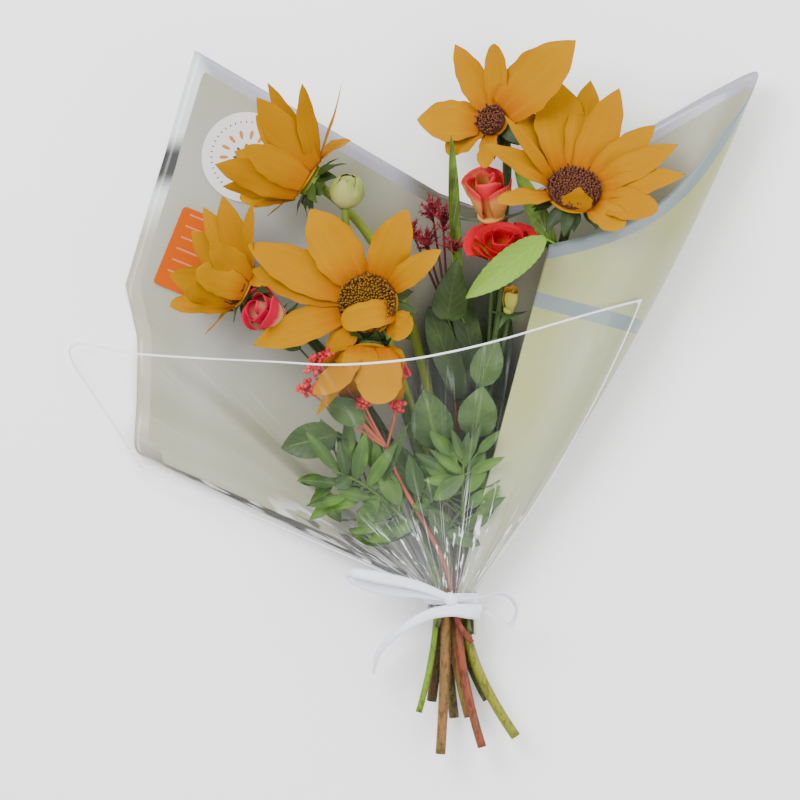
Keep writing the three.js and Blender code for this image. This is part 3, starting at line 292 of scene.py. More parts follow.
# A strip of ribbon is x, y, z, width, turn: turn 0 lays it flat and 90 stands it on edge.
KNOT = (36, -140.5, 40.4)
RIBBON_STRIPS = {
    "left_loop": [
        (34, -139, 40.6, 5, 10), (14, -131, 44, 7, 14), (-6, -126, 46, 8, 16), (-22, -123, 45, 8, 14),
        (-33, -122, 42, 7, 6), (-35, -125, 38, 6, 0), (-24, -130.5, 37, 7, -6), (-6, -134.5, 38, 7, -6),
        (14, -136.5, 40, 6, -4), (33, -139.5, 40.2, 5, 0),
    ],
    "right_loop": [
        (40, -141, 40.6, 5, 40), (57, -139.4, 45, 5, 60), (69, -136, 45, 5, 62), (78, -139.5, 43, 5, 62),
        (82, -149, 39, 5, 62), (77, -158.5, 35, 5, 60), (68, -153, 35, 5, 60), (60, -148.6, 37, 5, 60),
    ],
    "tail": [
        (57, -149.6, 36, 11, -10), (48, -148.6, 40.4, 10.5, -6), (36, -148, 42, 8.5, 0),
        (20, -151, 42, 7.5, 6), (4, -159.5, 40, 6.5, 14), (-8, -169, 35, 5.5, 26),
        (-16, -180, 28, 4.5, 38), (-19, -193.5, 18, 2.4, 50),
    ],
}


# Finer pieces: how many there are of each and how large they are.
FLORET_WIDTH, FLORET_HEIGHT, FLORET_DOME = 2.0, 3.0, 4.9
BRACT_LENGTH = 19
HAIR_WIDTH = 0.16
BUD_SCALES = 9
SEPALS = 5
FILLER_SPRIGS = {"coral": 36, "red": 26}
NEEDLES = 14
SMALL_LEAVES = 22
# How far below its head a stem ends.
SUNFLOWER_CUP, ROSE_CUP = 12, 7
# The places of the paints in a green piece.
LEAF_PAINT, STEM_PAINT, BRACT_PAINT = 0, 1, 2


# ------------------------------------------------------------------ sizes and colours of the add-on
def colour_property(name, description, default):
    return FloatVectorProperty(
        name=name, description=description, default=default, subtype="COLOR", min=0, max=1, size=3
    )


def length_property(name, description, default, low, high):
    return FloatProperty(
        name=name, description=description, default=default * MM, min=low * MM, max=high * MM,
        unit="LENGTH", subtype="DISTANCE",
    )


class BouquetSettings(bpy.types.PropertyGroup):
    petal_thickness: length_property("Petal thickness", "Thickness in the middle of a petal", 0.5, 0.1, 2)
    leaf_thickness: length_property("Leaf thickness", "Thickness along the middle of a leaf", 0.5, 0.1, 2)
    film_thickness: length_property("Film thickness", "Thickness of the films", 0.3, 0.05, 1)
    border: length_property("Wrap border", "Width of the silvery border of the wrap", 10, 0, 30)
    hair_length: length_property("Hair length", "Length of the hairs on the stems", 1.3, 0.2, 4)
    disc_florets: IntProperty(
        name="Disc florets", description="Florets on the largest sunflower disc",
        default=420, min=20, max=900,
    )
    stem_hairs: IntProperty(
        name="Stem hairs", description="Hairs on each sunflower stem", default=1800, min=0, max=6000,
    )
    petal: colour_property("Petals", "Colour of the sunflower petals", (0.3, 0.13, 0.0))
    leaf: colour_property("Leaves", "Colour of the leaves", (0.026, 0.05, 0.013))
    rose_rim: colour_property("Rose rim", "Colour of the rose petals' rim", (0.42, 0.003, 0.012))
    rose_heart: colour_property("Rose heart", "Colour inside the roses", (0.42, 0.085, 0.004))
    film: colour_property("Wrap", "Colour of the wrap", (0.25, 0.25, 0.165))
    flap: colour_property("Flap", "Colour of the wrap's front flap", (0.29, 0.31, 0.11))
    ribbon: colour_property("Ribbon", "Colour of the ribbon", (0.68, 0.69, 0.78))
    price_label: colour_property("Price label", "Colour of the price label", (0.44, 0.07, 0.0))


# ------------------------------------------------------------------ meshes
class Skin:
    """Vertices, faces and UVs in the plan frame, in millimetres, gathered into one object."""

    def __init__(self):
        self.points, self.uvs, self.tones, self.marks = [], [], [], []
        self.faces, self.paints = [], []
        self.tone = 0.0
        self.paint = 0

    def add(self, point, uv=(0.5, 0.5), mark=0.0):
        self.points.append(point)
        self.uvs.append(uv)
        self.tones.append(self.tone)
        self.marks.append(mark)
        return len(self.points) - 1

    def face(self, *corners):
        self.faces.append(corners)
        self.paints.append(self.paint)

    def loft(self, rings, start=True, end=True):
        """Joins closed rings of vertex numbers, and fans over the first and the last one."""
        for a, b in zip(rings, rings[1:]):
            n = max(len(a), len(b))
            for j in range(n):
                k = (j + 1) % n
                if len(a) == 1:
                    self.face(a[0], b[j], b[k])
                elif len(b) == 1:
                    self.face(a[j], b[0], a[k])
                else:
                    self.face(a[j], b[j], b[k], a[k])
        if start and len(rings[0]) > 2:
            self.face(*rings[0])
        if end and len(rings[-1]) > 2:
            self.face(*reversed(rings[-1]))

    def mesh(self, name):
        """The bare mesh, in metres in the CAD frame."""
        mesh = bpy.data.meshes.new(name)
        mesh.from_pydata([((p + SHIFT) * MM)[:] for p in self.points], [], self.faces)
        mesh.update()
        return mesh

    def object(self, name, materials, node, slot, smooth=True):
        """The finished piece, in the place of the CAD node that it stands for."""
        mesh = self.mesh(name)
        layer = mesh.uv_layers.new(name="UVMap")
        for loop in mesh.loops:
            layer.data[loop.index].uv = self.uvs[loop.vertex_index]
        for title, values in (("tone", self.tones), ("mark", self.marks)):
            attribute = mesh.attributes.new(title, "FLOAT", "POINT")
            attribute.data.foreach_set("value", values)
        for material in materials:
            mesh.materials.append(material)
        for polygon, paint in zip(mesh.polygons, self.paints):
            polygon.use_smooth = smooth
            polygon.material_index = paint
        dress(link(name, mesh), slot, node)


def link(name, data):
    """An object in the scene."""
    thing = bpy.data.objects.new(name, data)
    bpy.context.scene.collection.objects.link(thing)
    return thing


def dress(piece, slot, *nodes):
    """Hangs a piece on the part's body and hides the nodes that it replaces; the slot is not used."""
    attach(piece, "root")
    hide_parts(*nodes)


def facing(out):
    """The way that a head faces, and two directions across it."""
    n = Vector(out).normalized()
    x = (Vector((1, 0, 0)) - n * n.x).normalized()
    return n, x, n.cross(x)


def mix(a, b, t):
    return a + (b - a) * t


def smoothstep(t, low, high):
    t = min(max((t - low) / (high - low), 0), 1)
    return t * t * (3 - 2 * t)


def through(stations, t):
    """A smooth curve through (t, value) stations."""
    for k in range(len(stations) - 1):
        if t <= stations[k + 1][0]:
            break
    t0, v0 = stations[k]
    t1, v1 = stations[k + 1]
    before = stations[k - 1] if k else (2 * t0 - t1, 2 * v0 - v1)
    after = stations[k + 2] if k + 2 < len(stations) else (2 * t1 - t0, 2 * v1 - v0)
    s = (t - t0) / (t1 - t0)
    m0 = (v1 - before[1]) / (t1 - before[0]) * (t1 - t0)
    m1 = (after[1] - v0) / (after[0] - t0) * (t1 - t0)
    return (
        (2 * s**3 - 3 * s**2 + 1) * v0 + (s**3 - 2 * s**2 + s) * m0
        + (-2 * s**3 + 3 * s**2) * v1 + (s**3 - s**2) * m1
    )


OUTLINES = {
    "ray": [(0, 0.6), (0.16, 0.84), (0.36, 1.0), (0.6, 0.92), (0.8, 0.6), (0.92, 0.28), (1, 0.0)],
    "rounded": [(0, 0.6), (0.2, 0.86), (0.42, 1.0), (0.68, 0.96), (0.88, 0.66), (0.97, 0.34), (1, 0.1)],
    "bract": [(0, 0.7), (0.4, 1), (0.75, 0.5), (1, 0)],
    "sepal": [(0, 1), (0.5, 0.6), (1, 0)],
    "lance": [(0, 0.12), (0.25, 0.84), (0.5, 1), (0.78, 0.62), (1, 0)],
    "ovate": [(0, 0.12), (0.12, 0.66), (0.3, 0.95), (0.46, 1), (0.66, 0.84), (0.86, 0.42), (1, 0)],
    "heart": [(0, 0.3), (0.12, 0.92), (0.35, 1), (0.62, 0.72), (0.84, 0.34), (1, 0)],
    "strap": [(0, 0.5), (0.3, 0.9), (0.65, 1), (0.9, 0.55), (1, 0)],
}


def turned_up(direction, up, rise):
    """How far a blade is turned about its midrib, in degrees, to show more of a face upwards."""
    a = math.radians(rise)
    lifted = up * math.cos(a) - direction * math.sin(a)
    side = up.cross(direction)
    roll = math.degrees(math.atan2(-side.z * math.copysign(1, lifted.z), abs(lifted.z)))
    return min(max(roll, -FACE_UP), FACE_UP)


def blade(skin, b):
    """A thin curved petal or leaf, closed all round, thinner towards its edges."""
    outline = OUTLINES[b["outline"]]
    direction, up = b["dir"], b["up"]
    side = up.cross(direction)
    rows, cols = b["rows"], b["cols"]
    thick = b["thick"] / 2
    wave, cycles, phase = b.get("wave", (0, 1, 0))
    ridges, ridge = b.get("ridges", (0, 0))
    veins, vein = b.get("veins", (0, 0))
    teeth, tooth = b.get("teeth", (0, 0))
    sway, ragged = b.get("sway", 0), b.get("ragged", 0)
    point = b["base"].copy()
    rings = []
    steps = 4
    for i in range(rows + 1):
        t = i / rows
        angle = math.radians(b["rise"] + b["curl"] * t)
        if i:
            for k in range(steps):
                a = math.radians(b["rise"] + b["curl"] * (t - (k + 0.5) / rows / steps))
                step = b["length"] / rows / steps
                point += direction * math.cos(a) * step + up * math.sin(a) * step
        lifted = up * math.cos(angle) - direction * math.sin(angle)
        roll = math.radians(b.get("roll", 0) + b.get("twist", 0) * t)
        wide = side * math.cos(roll) + lifted * math.sin(roll)
        n = lifted * math.cos(roll) - side * math.sin(roll)
        half = max(b["width"] / 2 * through(outline, t), 0)
        if teeth:
            half *= 1 - tooth * (1 - (t * teeth) % 1) * (1 if 0.06 < t < 0.96 else 0)
        if ragged:
            half *= 1 + 0.05 * ragged * math.sin(11 * t + 9 * phase) + 0.03 * math.sin(27 * t + 5 * phase)
        middle = point + wide * sway * t * t * b["width"]
        fade = math.sin(math.pi * min(t * 1.15, 1)) ** 0.5 if 0 < t < 0.87 else 0.4 * (1 - t)
        top, under = [], []
        for j in range(cols + 1):
            s = math.sin(math.pi * (j / cols - 0.5))
            height = b.get("cup", 0) * half * s * s
            height += wave * fade * s * abs(s) * math.sin(2 * math.pi * (cycles * t) + phase + s)
            height += wave * 0.5 * fade * math.sin(2 * math.pi * (cycles * 0.6 * t) + 2 * phase)
            if ridges:
                height += ridge * fade * math.cos(math.pi * ridges * s)
            if veins:
                height -= vein * (1 - abs(s)) ** 2
                height += vein * 0.6 * math.sin(2 * math.pi * (veins * t - abs(s) * veins * 0.28))
            place = middle + wide * s * half + n * height
            edge = thick * (1 - abs(s) ** 3) * (1 - 0.6 * t)
            uv = ((s + 1) / 2, t)
            if j in (0, cols):
                top.append(skin.add(place, uv))
            else:
                top.append(skin.add(place + n * edge, uv))
                under.append(skin.add(place - n * edge, uv))
        if i == rows and half < 0.05:
            tip = skin.add(middle, (0.5, 1))
            rings.append([tip])
        else:
            rings.append(top + list(reversed(under)))
    skin.loft(rings)


def closed_sheet(skin, grid, thick):
    """A sheet through a grid of points, its rows running across it, thinner along its far edge."""
    rows, cols = len(grid) - 1, len(grid[0]) - 1
    rings = []
    for i, row in enumerate(grid):
        top, under = [], []
        for j, p in enumerate(row):
            along = grid[min(i + 1, rows)][j] - grid[max(i - 1, 0)][j]
            across = row[min(j + 1, cols)] - row[max(j - 1, 0)]
            normal = along.cross(across).normalized()
            edge = thick / 2 * (1 - 0.7 * (i / rows) ** 3)
            uv = (j / cols, i / rows)
            if j in (0, cols):
                top.append(skin.add(p, uv))
            else:
                top.append(skin.add(p + normal * edge, uv))
                under.append(skin.add(p - normal * edge, uv))
        rings.append(top + list(reversed(under)))
    skin.loft(rings)


class Path:
    """A polyline read by its share of length."""

    def __init__(self, points):
        self.points = points
        self.reach = [0.0]
        for a, b in zip(points, points[1:]):
            self.reach.append(self.reach[-1] + (b - a).length)

    def find(self, t):
        want = min(max(t, 0), 1) * self.reach[-1]
        k = 0
        while k < len(self.reach) - 2 and self.reach[k + 1] < want:
            k += 1
        return k, (want - self.reach[k]) / max(self.reach[k + 1] - self.reach[k], 1e-9)

    def at(self, t):
        k, share = self.find(t)
        return self.points[k].lerp(self.points[k + 1], share)

    def along(self, t):
        a, b = self.at(max(t - 0.01, 0)), self.at(min(t + 0.01, 1))
        return (b - a).normalized()


def bezier(controls, steps):
    """Points along the smooth curve that a few control points draw."""
    points = []
    for i in range(steps + 1):
        level = [Vector(c) for c in controls]
        while len(level) > 1:
            level = [a.lerp(b, i / steps) for a, b in zip(level, level[1:])]
        points.append(level[0])
    return points


def tube(skin, path, radius, sides, steps):
    """A round stem along a path; radius is a function of the share of length."""
    rings = []
    normal = path.along(0).orthogonal().normalized()
    for i in range(steps + 1):
        t = i / steps
        along = path.along(t)
        normal = (normal - along * normal.dot(along)).normalized()
        binormal = along.cross(normal)
        centre = path.at(t)
        ring = []
        for k in range(sides):
            a = -2 * math.pi * k / sides
            r = radius(t) * (1 + 0.03 * math.cos(3 * a + 9 * t))
            ring.append(
                skin.add(centre + (normal * math.cos(a) + binormal * math.sin(a)) * r, (k / sides, t))
            )
        if i == 0:
            rings.append([skin.add(centre, (0.5, 0), 1.0)])
        rings.append(ring)
        if i == steps:
            rings.append([skin.add(centre, (0.5, 1), 1.0)])
    skin.loft(rings, False, False)


def stem_path(stem, top, way):
    """A stem from its cut end through its place in the tie to the foot of its head."""
    slot = TIE + Vector((stem["slot"][0], 0, stem["slot"][1]))
    reach = (top - slot).length
    end = Vector(stem["end"])
    lower = bezier([end, slot + Vector((0, (end.y - slot.y) * 0.45, 0)), slot], 16)
    upper = bezier(
        [slot, slot + Vector((0, reach * stem.get("hold", 0.3), 0)),
         top - way * reach * stem.get("bend", 0.28), top],
        40,
    )
    return Path(lower[:-1] + upper)


def lathe(skin, head, profile, sides=32, waviness=0.0):
    """A shape turned round the way that a head faces, from the bottom of its profile up."""
    n, x, y = facing(head["faces"])
    centre = Vector(head["at"])
    rings = []
    for i, (r, z) in enumerate(profile):
        v = i / (len(profile) - 1)
        if r < 1e-6:
            rings.append([skin.add(centre + n * z, (0.5, v))])
            continue
        ring = []
        for k in range(sides):
            a = 2 * math.pi * k / sides
            wobble = 1 + waviness * math.sin(5 * a + i)
            ring.append(
                skin.add(
                    centre + (x * math.cos(a) + y * math.sin(a)) * r * wobble + n * z, (k / sides, v)
                )
            )
        rings.append(list(reversed(ring)))
    skin.loft(rings, False, False)


def leaf_on(skin, path, leaf, thick, rng):
    """A leaf from a stem, by itself or on a stalk of its own."""
    root = path.at(leaf["at"])
    base = Vector(leaf["base"]) if "base" in leaf else root.copy()
    chord = Vector(leaf["tip"]) - base
    direction = chord.normalized()
    up = Vector(leaf.get("up", (0, 0, 1)))
    up = (up - direction * up.dot(direction)).normalized()
    curl = leaf.get("curl", -30)
    bow = math.radians(curl) / 2
    length = chord.length / (math.sin(bow) / bow if abs(bow) > 0.01 else 1)
    outline = leaf.get("outline", "lance")
    skin.tone = 1.0 if leaf.get("pale") else 0.8 * rng.random()
    blade(skin, {
        "base": base, "dir": direction, "up": up, "length": length, "width": leaf["width"],
        "outline": outline, "rise": -curl / 2, "curl": curl, "cup": leaf.get("cup", 0.25),
        "thick": thick, "rows": 28 if outline in ("ovate", "heart") else 16, "cols": 10,
        "wave": (leaf["width"] * 0.035, 2.2, 6 * rng.random()),
        "veins": (7, 0.35) if outline in ("ovate", "heart") else (0, 0),
        "teeth": (14, 0.09) if outline == "ovate" else (0, 0),
    })
    if "base" in leaf:
        stalk = bezier([root, root.lerp(base, 0.6) - direction * 2, base + direction * 1.5], 8)
        tube(skin, Path(stalk), lambda t: mix(1.0, 0.7, t), 6, 8)


# ------------------------------------------------------------------ materials
class Nodes:
    """Makes and links the nodes of one tree."""

    def node(self, kind, inputs=(), **settings):
        node = self.tree.nodes.new(kind)
        for key, value in settings.items():
            setattr(node, key, value)
        for key, value in dict(inputs).items():
            self.feed(node.inputs[key], value)
        return node

    def feed(self, socket, value):
        if isinstance(value, bpy.types.NodeSocket):
            self.tree.links.new(value, socket)
        elif socket.type == "RGBA" and len(value) == 3:
            socket.default_value = (*value, 1)
        else:
            socket.default_value = value

    def math(self, operation, a, b=0.0, clamp=False):
        return self.node("ShaderNodeMath", {0: a, 1: b}, operation=operation, use_clamp=clamp).outputs[0]

    def plus(self, a, b, clamp=False):
        return self.math("ADD", a, b, clamp)

    def minus(self, a, b):
        return self.math("SUBTRACT", a, b)

    def times(self, a, b):
        return self.math("MULTIPLY", a, b)

    def over(self, a, b):
        return self.math("DIVIDE", a, b)

    def power(self, a, b):
        return self.math("POWER", a, b)

    def rest(self, a):
        """What is left of 1."""
        return self.minus(1.0, a)

    def gap(self, a, b):
        """How far apart two values are."""
        return self.math("ABSOLUTE", self.minus(a, b))

    def squares(self, a, b):
        """The sum of two squares."""
        return self.plus(self.power(a, 2.0), self.power(b, 2.0))


class Paint(Nodes):
    """A Principled material and the nodes that feed it."""

    def __init__(self, name, **constants):
        self.material = bpy.data.materials.new(name)
        self.material.use_nodes = True
        self.tree = self.material.node_tree
        self.shader = self.tree.nodes["Principled BSDF"]
        for key, value in constants.items():
            self.shader.inputs[key.replace("_", " ")].default_value = value

    def set(self, socket, value):
        self.feed(self.shader.inputs[socket], value)

    def mixed(self, factor, a, b):
        return self.node("ShaderNodeMix", {0: factor, 6: a, 7: b}, data_type="RGBA").outputs[2]

    def ramp(self, factor, low, high):
        """0 below `low`, 1 above `high`, smooth between them."""
        inputs = {0: factor, 1: low, 2: high}
        return self.node("ShaderNodeMapRange", inputs, interpolation_type="SMOOTHSTEP").outputs[0]

    def fall(self, factor, low, high):
        """1 below `low`, 0 above `high`, smooth between them."""
        return self.rest(self.ramp(factor, low, high))

    def uv(self):
        return self.node("ShaderNodeUVMap", uv_map="UVMap").outputs[0]

    def place(self):
        return self.node("ShaderNodeTexCoord").outputs["Object"]

    def plan(self):
        """x and y in the plan frame, in millimetres."""
        x, y, _ = self.split(self.place())
        return self.minus(self.over(x, MM), SHIFT.x), self.minus(self.over(y, MM), SHIFT.y)

    def split(self, vector):
        return self.node("ShaderNodeSeparateXYZ", {0: vector}).outputs

    def noise(self, vector, scale, detail=2.0):
        inputs = {"Vector": vector, "Scale": scale, "Detail": detail}
        return self.node("ShaderNodeTexNoise", inputs).outputs[0]

    def grain(self, vector, stretch, detail, scale=1.0):
        """Noise along a vector that is stretched by its own factor on each axis."""
        stretched = self.node("ShaderNodeMapping", {0: vector, 3: stretch}).outputs[0]
        return self.noise(stretched, scale, detail)

    def attribute(self, name):
        return self.node("ShaderNodeAttribute", attribute_name=name).outputs["Fac"]

    def bump(self, height, distance, strength=1.0):
        inputs = {"Height": height, "Distance": distance, "Strength": strength}
        self.set("Normal", self.node("ShaderNodeBump", inputs).outputs[0])


def shade(colour, factor):
    """A colour made darker or lighter, short of white."""
    return tuple(min(c * factor, 0.92) for c in colour)


def petal_paint(settings):
    """Yellow petals, deeper towards the disc, with fine streaks along them."""
    p = Paint("sunflower petal", Roughness=0.7, Specular_IOR_Level=0.02)
    _, v, _ = p.split(p.uv())
    streaks = p.grain(p.uv(), (22, 1.3, 1), 3)
    broad = p.grain(p.uv(), (5, 1, 1), 1, 1.3)
    colour = p.mixed(p.ramp(v, -0.05, 0.42), (0.26, 0.062, 0.0), settings.petal)
    colour = p.mixed(p.ramp(v, 0.6, 1.0), colour, (0.32, 0.15, 0.0))
    colour = p.mixed(p.times(p.ramp(streaks, 0.52, 0.74), 0.2), colour, (0.24, 0.08, 0.0))
    colour = p.mixed(p.times(p.ramp(broad, 0.45, 0.7), 0.35), colour, (0.33, 0.155, 0.0))
    colour = p.mixed(p.times(p.attribute("tone"), 0.4), colour, (0.27, 0.1, 0.0))
    p.set("Base Color", colour)
    p.bump(streaks, 0.0003, 0.4)
    return p.material


def disc_paint(name, middle, outer, tip):
    """Florets darken from the middle of the disc outwards; their open tips are lighter."""
    p = Paint(name, Roughness=0.8, Specular_IOR_Level=0.2)
    tone = p.attribute("tone")
    speck = p.noise(p.place(), 700, 2)
    colour = p.mixed(p.ramp(tone, 0.25, 0.85), middle, outer)
    colour = p.mixed(p.ramp(speck, 0.5, 0.62), colour, shade(outer, 0.35))
    tips = p.times(p.ramp(p.attribute("mark"), 0.1, 0.5), p.ramp(speck, 0.36, 0.5))
    colour = p.mixed(tips, colour, tip)
    p.set("Base Color", colour)
    return p.material


def green_paint(name, colour, light, vein, roughness=0.5):
    """Leaves: pale veins on the blades, and patches of a lighter green."""
    p = Paint(name, Roughness=roughness, Specular_IOR_Level=0.2)
    u, v, _ = p.split(p.uv())
    side = p.gap(u, 0.5)
    rib = p.fall(side, 0.0, 0.035)
    comb = p.math("SINE", p.times(p.minus(v, p.times(side, 0.55)), 50))
    lines = p.times(p.ramp(comb, 0.9, 1.0), 0.4)
    patches = p.noise(p.place(), 45, 3)
    base = p.mixed(p.ramp(patches, 0.42, 0.72), colour, light)
    base = p.mixed(p.ramp(p.attribute("tone"), 0.45, 1.0), base, light)
    base = p.mixed(p.math("MAXIMUM", p.times(rib, 0.5), lines), base, vein)
    p.set("Base Color", base)
    p.bump(p.noise(p.place(), 500, 2), 0.0004, 0.25)
    return p.material


def stem_paint(name, colour, low_colour):
    """Stems turn to another colour below the tie, and their cut ends are pale."""
    p = Paint(name, Roughness=0.5, Specular_IOR_Level=0.3)
    _, y = p.plan()
    fibre = p.grain(p.uv(), (30, 6, 1), 3)
    patches = p.noise(p.place(), 60, 4)
    below = p.fall(y, TIE.y - 20, TIE.y + 50)
    patchy = p.plus(0.65, p.times(p.ramp(patches, 0.3, 0.6), 0.35))
    base = p.mixed(p.times(below, patchy), colour, low_colour)
    base = p.mixed(p.times(p.ramp(fibre, 0.5, 0.75), 0.3), base, shade(colour, 1.7))
    spots = p.ramp(p.grain(p.place(), (1, 0.35, 1), 3, 420), 0.52, 0.62)
    spots = p.times(spots, p.times(below, 0.75))
    base = p.mixed(spots, base, shade(low_colour, 0.35))
    base = p.mixed(p.ramp(p.attribute("mark"), 0.5, 0.9), base, (0.3, 0.26, 0.1))
    p.set("Base Color", base)
    p.bump(fibre, 0.0005, 0.4)
    return p.material


def rose_paint(name, rim, heart, foot, spread):
    """Rose petals: the colour of the rim runs in from the edge over a lighter heart."""
    p = Paint(name, Roughness=0.6, Specular_IOR_Level=0.12)
    u, v, _ = p.split(p.uv())
    side = p.times(p.gap(u, 0.5), 2.0)
    far = p.math("MAXIMUM", v, p.times(p.power(side, 3.0), 0.9))
    veins = p.grain(p.uv(), (18, 3, 1), 2)
    far = p.plus(far, p.times(p.minus(veins, 0.5), 0.2))
    far = p.plus(far, p.times(p.minus(p.attribute("tone"), 0.5), 0.4))
    colour = p.mixed(p.ramp(far, spread - 0.22, spread + 0.1), heart, rim)
    colour = p.mixed(p.ramp(far, 0.0, 0.3), foot, colour)
    p.set("Base Color", colour)
    p.bump(veins, 0.0003, 0.3)
    return p.material


def film_paint(settings):
    """Pearl film with a silvery border along its edge and a second band on the flap."""
    p = Paint("pearl film", Specular_IOR_Level=0.4, Coat_Weight=0.15, Coat_Roughness=0.2)
    edge = p.attribute("mark")
    border = settings.border / MM
    u, v, _ = p.split(p.uv())
    x, y = p.plan()
    flap = p.ramp(u, 0.74, 0.8)
    sheet = p.rest(flap)

    # The film is cloudy; painted shade darkens it behind the flowers, behind the stems and in its pleats.
    pearl = p.mixed(flap, settings.film, settings.flap)
    cloud = p.ramp(p.grain(p.place(), (5, 3, 3), 2, 1.6), 0.35, 0.75)
    base = p.mixed(cloud, pearl, p.mixed(0.5, pearl, (0.4, 0.4, 0.42)))
    shaded = p.times(p.ramp(x, -10.0, 20.0), p.fall(x, 56.0, 100.0))
    # Painted shade on the upper inside of the wrap, behind the flowers.
    inner = p.times(sheet, p.times(shaded, p.ramp(y, 60.0, 100.0)))
    base = p.mixed(inner, base, (0.15, 0.135, 0.105))
    # Painted shade inside an ellipse behind the stems.
    across = p.over(p.minus(x, DEEP_SHADE["x"]), DEEP_SHADE["across"])
    down = p.over(p.minus(y, DEEP_SHADE["y"]), DEEP_SHADE["down"])
    behind_shade = p.times(sheet, p.fall(p.squares(across, down), 0.45, 1.05))
    base = p.mixed(p.times(behind_shade, 0.9), base, (0.018, 0.025, 0.011))
    # Painted shade in the pleats towards the tie.
    pleat_shade = p.ramp(p.grain(p.uv(), (46, 2.4, 1), 2), 0.52, 0.62)
    pleat_shade = p.times(pleat_shade, p.fall(v, 0.22, 0.5))
    base = p.mixed(p.times(pleat_shade, 0.55), base, (0.085, 0.08, 0.06))

    # A painted reflection of the room lies on the border on the left, in long light and dark stretches.
    border_reflection = p.mixed(p.ramp(y, 112.0, 150.0), (0.36, 0.34, 0.26), (0.62, 0.66, 0.66))
    border_reflection = p.mixed(p.fall(p.gap(y, 168.0), 6.0, 24.0), border_reflection, (0.035, 0.035, 0.035))

    # Towards the neck the border is crumpled, and the crumples run on into the film,
    # with painted highlights on their ridges and painted shade in their dips.
    crumple = p.grain(p.uv(), (70, 9, 1), 1)
    glint = p.ramp(crumple, 0.55, 0.63)
    dip_shade = p.fall(crumple, 0.36, 0.44)
    crumple_glint_and_shade = p.mixed(glint, (0.05, 0.048, 0.04), (0.4, 0.41, 0.4))
    border_reflection = p.mixed(p.ramp(y, -60.0, -15.0), crumple_glint_and_shade, border_reflection)
    near = p.times(p.fall(edge, border + 4.0, border + 30.0), p.fall(y, -84.0, -62.0))
    near = p.times(near, sheet)
    base = p.mixed(p.times(near, glint), base, (0.5, 0.51, 0.52))
    base = p.mixed(p.times(near, dip_shade), base, (0.06, 0.056, 0.045))

    # The border and the band shine more than the film.
    slope = p.times(p.minus(x, FLAP_BAND["x"]), -FLAP_BAND["slope"])
    line = p.plus(p.minus(y, FLAP_BAND["y"]), slope)
    low = -FLAP_BAND["width"]
    band = p.times(p.ramp(line, low - 0.3, low + 0.3), p.fall(line, -0.3, 0.3))
    band = p.times(band, p.ramp(u, 0.79, 0.8))
    silver = p.math("MAXIMUM", p.fall(edge, border - 0.4, border + 0.4), band)
    # The soft border takes painted shade where the wrap is shaded.
    soft = p.mixed(shaded, (0.3, 0.3, 0.35), (0.085, 0.08, 0.055))
    soft = p.mixed(flap, soft, (0.17, 0.21, 0.21))
    left = p.fall(u, 0.285, 0.3)
    p.set("Base Color", p.mixed(silver, base, p.mixed(left, soft, border_reflection)))
    p.set("Roughness", p.minus(0.42, p.times(silver, 0.16)))
    p.bump(p.grain(p.place(), (22, 5, 5), 3, 1.2), 0.004, 0.14)
    return p.material


def clear_paint():
    """Clear film: it shows by painted highlights along its creases, in patches and on its bright edge."""
    p = Paint("clear film", Roughness=0.12, IOR=1.45, Specular_IOR_Level=0.2)
    # A painted highlight along the hem.
    hem_highlight = p.fall(p.attribute("mark"), 0.9, 1.7)
    near = p.attribute("tone")
    # Painted highlights along the creases and in patches near the tie.
    fan = p.grain(p.uv(), (46, 1.1, 1), 1)
    crease_highlight = p.fall(p.gap(fan, 0.5), 0.002, 0.014)
    crease_highlight = p.times(crease_highlight, p.ramp(p.grain(p.uv(), (30, 4, 1), 2), 0.45, 0.6))
    highlight_patch = p.ramp(p.grain(p.uv(), (38, 9, 1), 3), 0.6, 0.66)
    highlight_veil = p.times(crease_highlight, p.plus(0.03, p.times(p.ramp(near, 0.45, 1.0), 0.6)))
    highlight_veil = p.math("MAXIMUM", highlight_veil, p.times(highlight_patch, p.times(p.ramp(near, 0.7, 0.95), 0.8)))
    haze = p.plus(0.006, p.times(p.power(near, 4.0), 0.04))
    p.set("Base Color", (0.85, 0.87, 0.9))
    p.set("Alpha", p.plus(haze, p.math("MAXIMUM", p.times(hem_highlight, 0.8), highlight_veil), clamp=True))
    p.bump(p.grain(p.place(), (9, 5, 5), 4, 3.0), 0.01, 0.25)
    return p.material


def ribbon_paint(settings):
    """Satin with its weave along the ribbon."""
    p = Paint("satin ribbon", Roughness=0.35, Sheen_Weight=0.1)
    weave = p.grain(p.uv(), (40, 2, 1), 2)
    p.set("Base Color", p.mixed(p.ramp(weave, 0.4, 0.7), settings.ribbon, shade(settings.ribbon, 1.2)))
    p.bump(weave, 0.0002, 0.3)
    return p.material


def round_label_paint():
    """White paper with a plain ring of dots and a ring of small gold ovals."""
    p = Paint("round label", Roughness=0.7, Specular_IOR_Level=0.3)
    x, y = p.plan()
    x = p.minus(x, ROUND_LABEL["x"])
    y = p.minus(y, ROUND_LABEL["y"])
    radius = p.math("SQRT", p.squares(x, y))
    angle = p.math("ARCTAN2", y, x)

    def ring(middle, width, count, share):
        across = p.over(p.minus(radius, middle), width)
        along = p.over(p.math("SINE", p.times(angle, count / 2)), share)
        return p.fall(p.squares(across, along), 0.8, 1.1)

    ink = (0.05, 0.05, 0.05)
    colour = p.mixed(ring(25.0, 1.0, 40, 0.35), (0.62, 0.61, 0.6), ink)
    colour = p.mixed(ring(16.0, 3.4, 14, 0.55), colour, (0.42, 0.17, 0.03))
    colour = p.mixed(ring(7.5, 2.2, 8, 0.5), colour, ink)
    p.set("Base Color", colour)
    return p.material


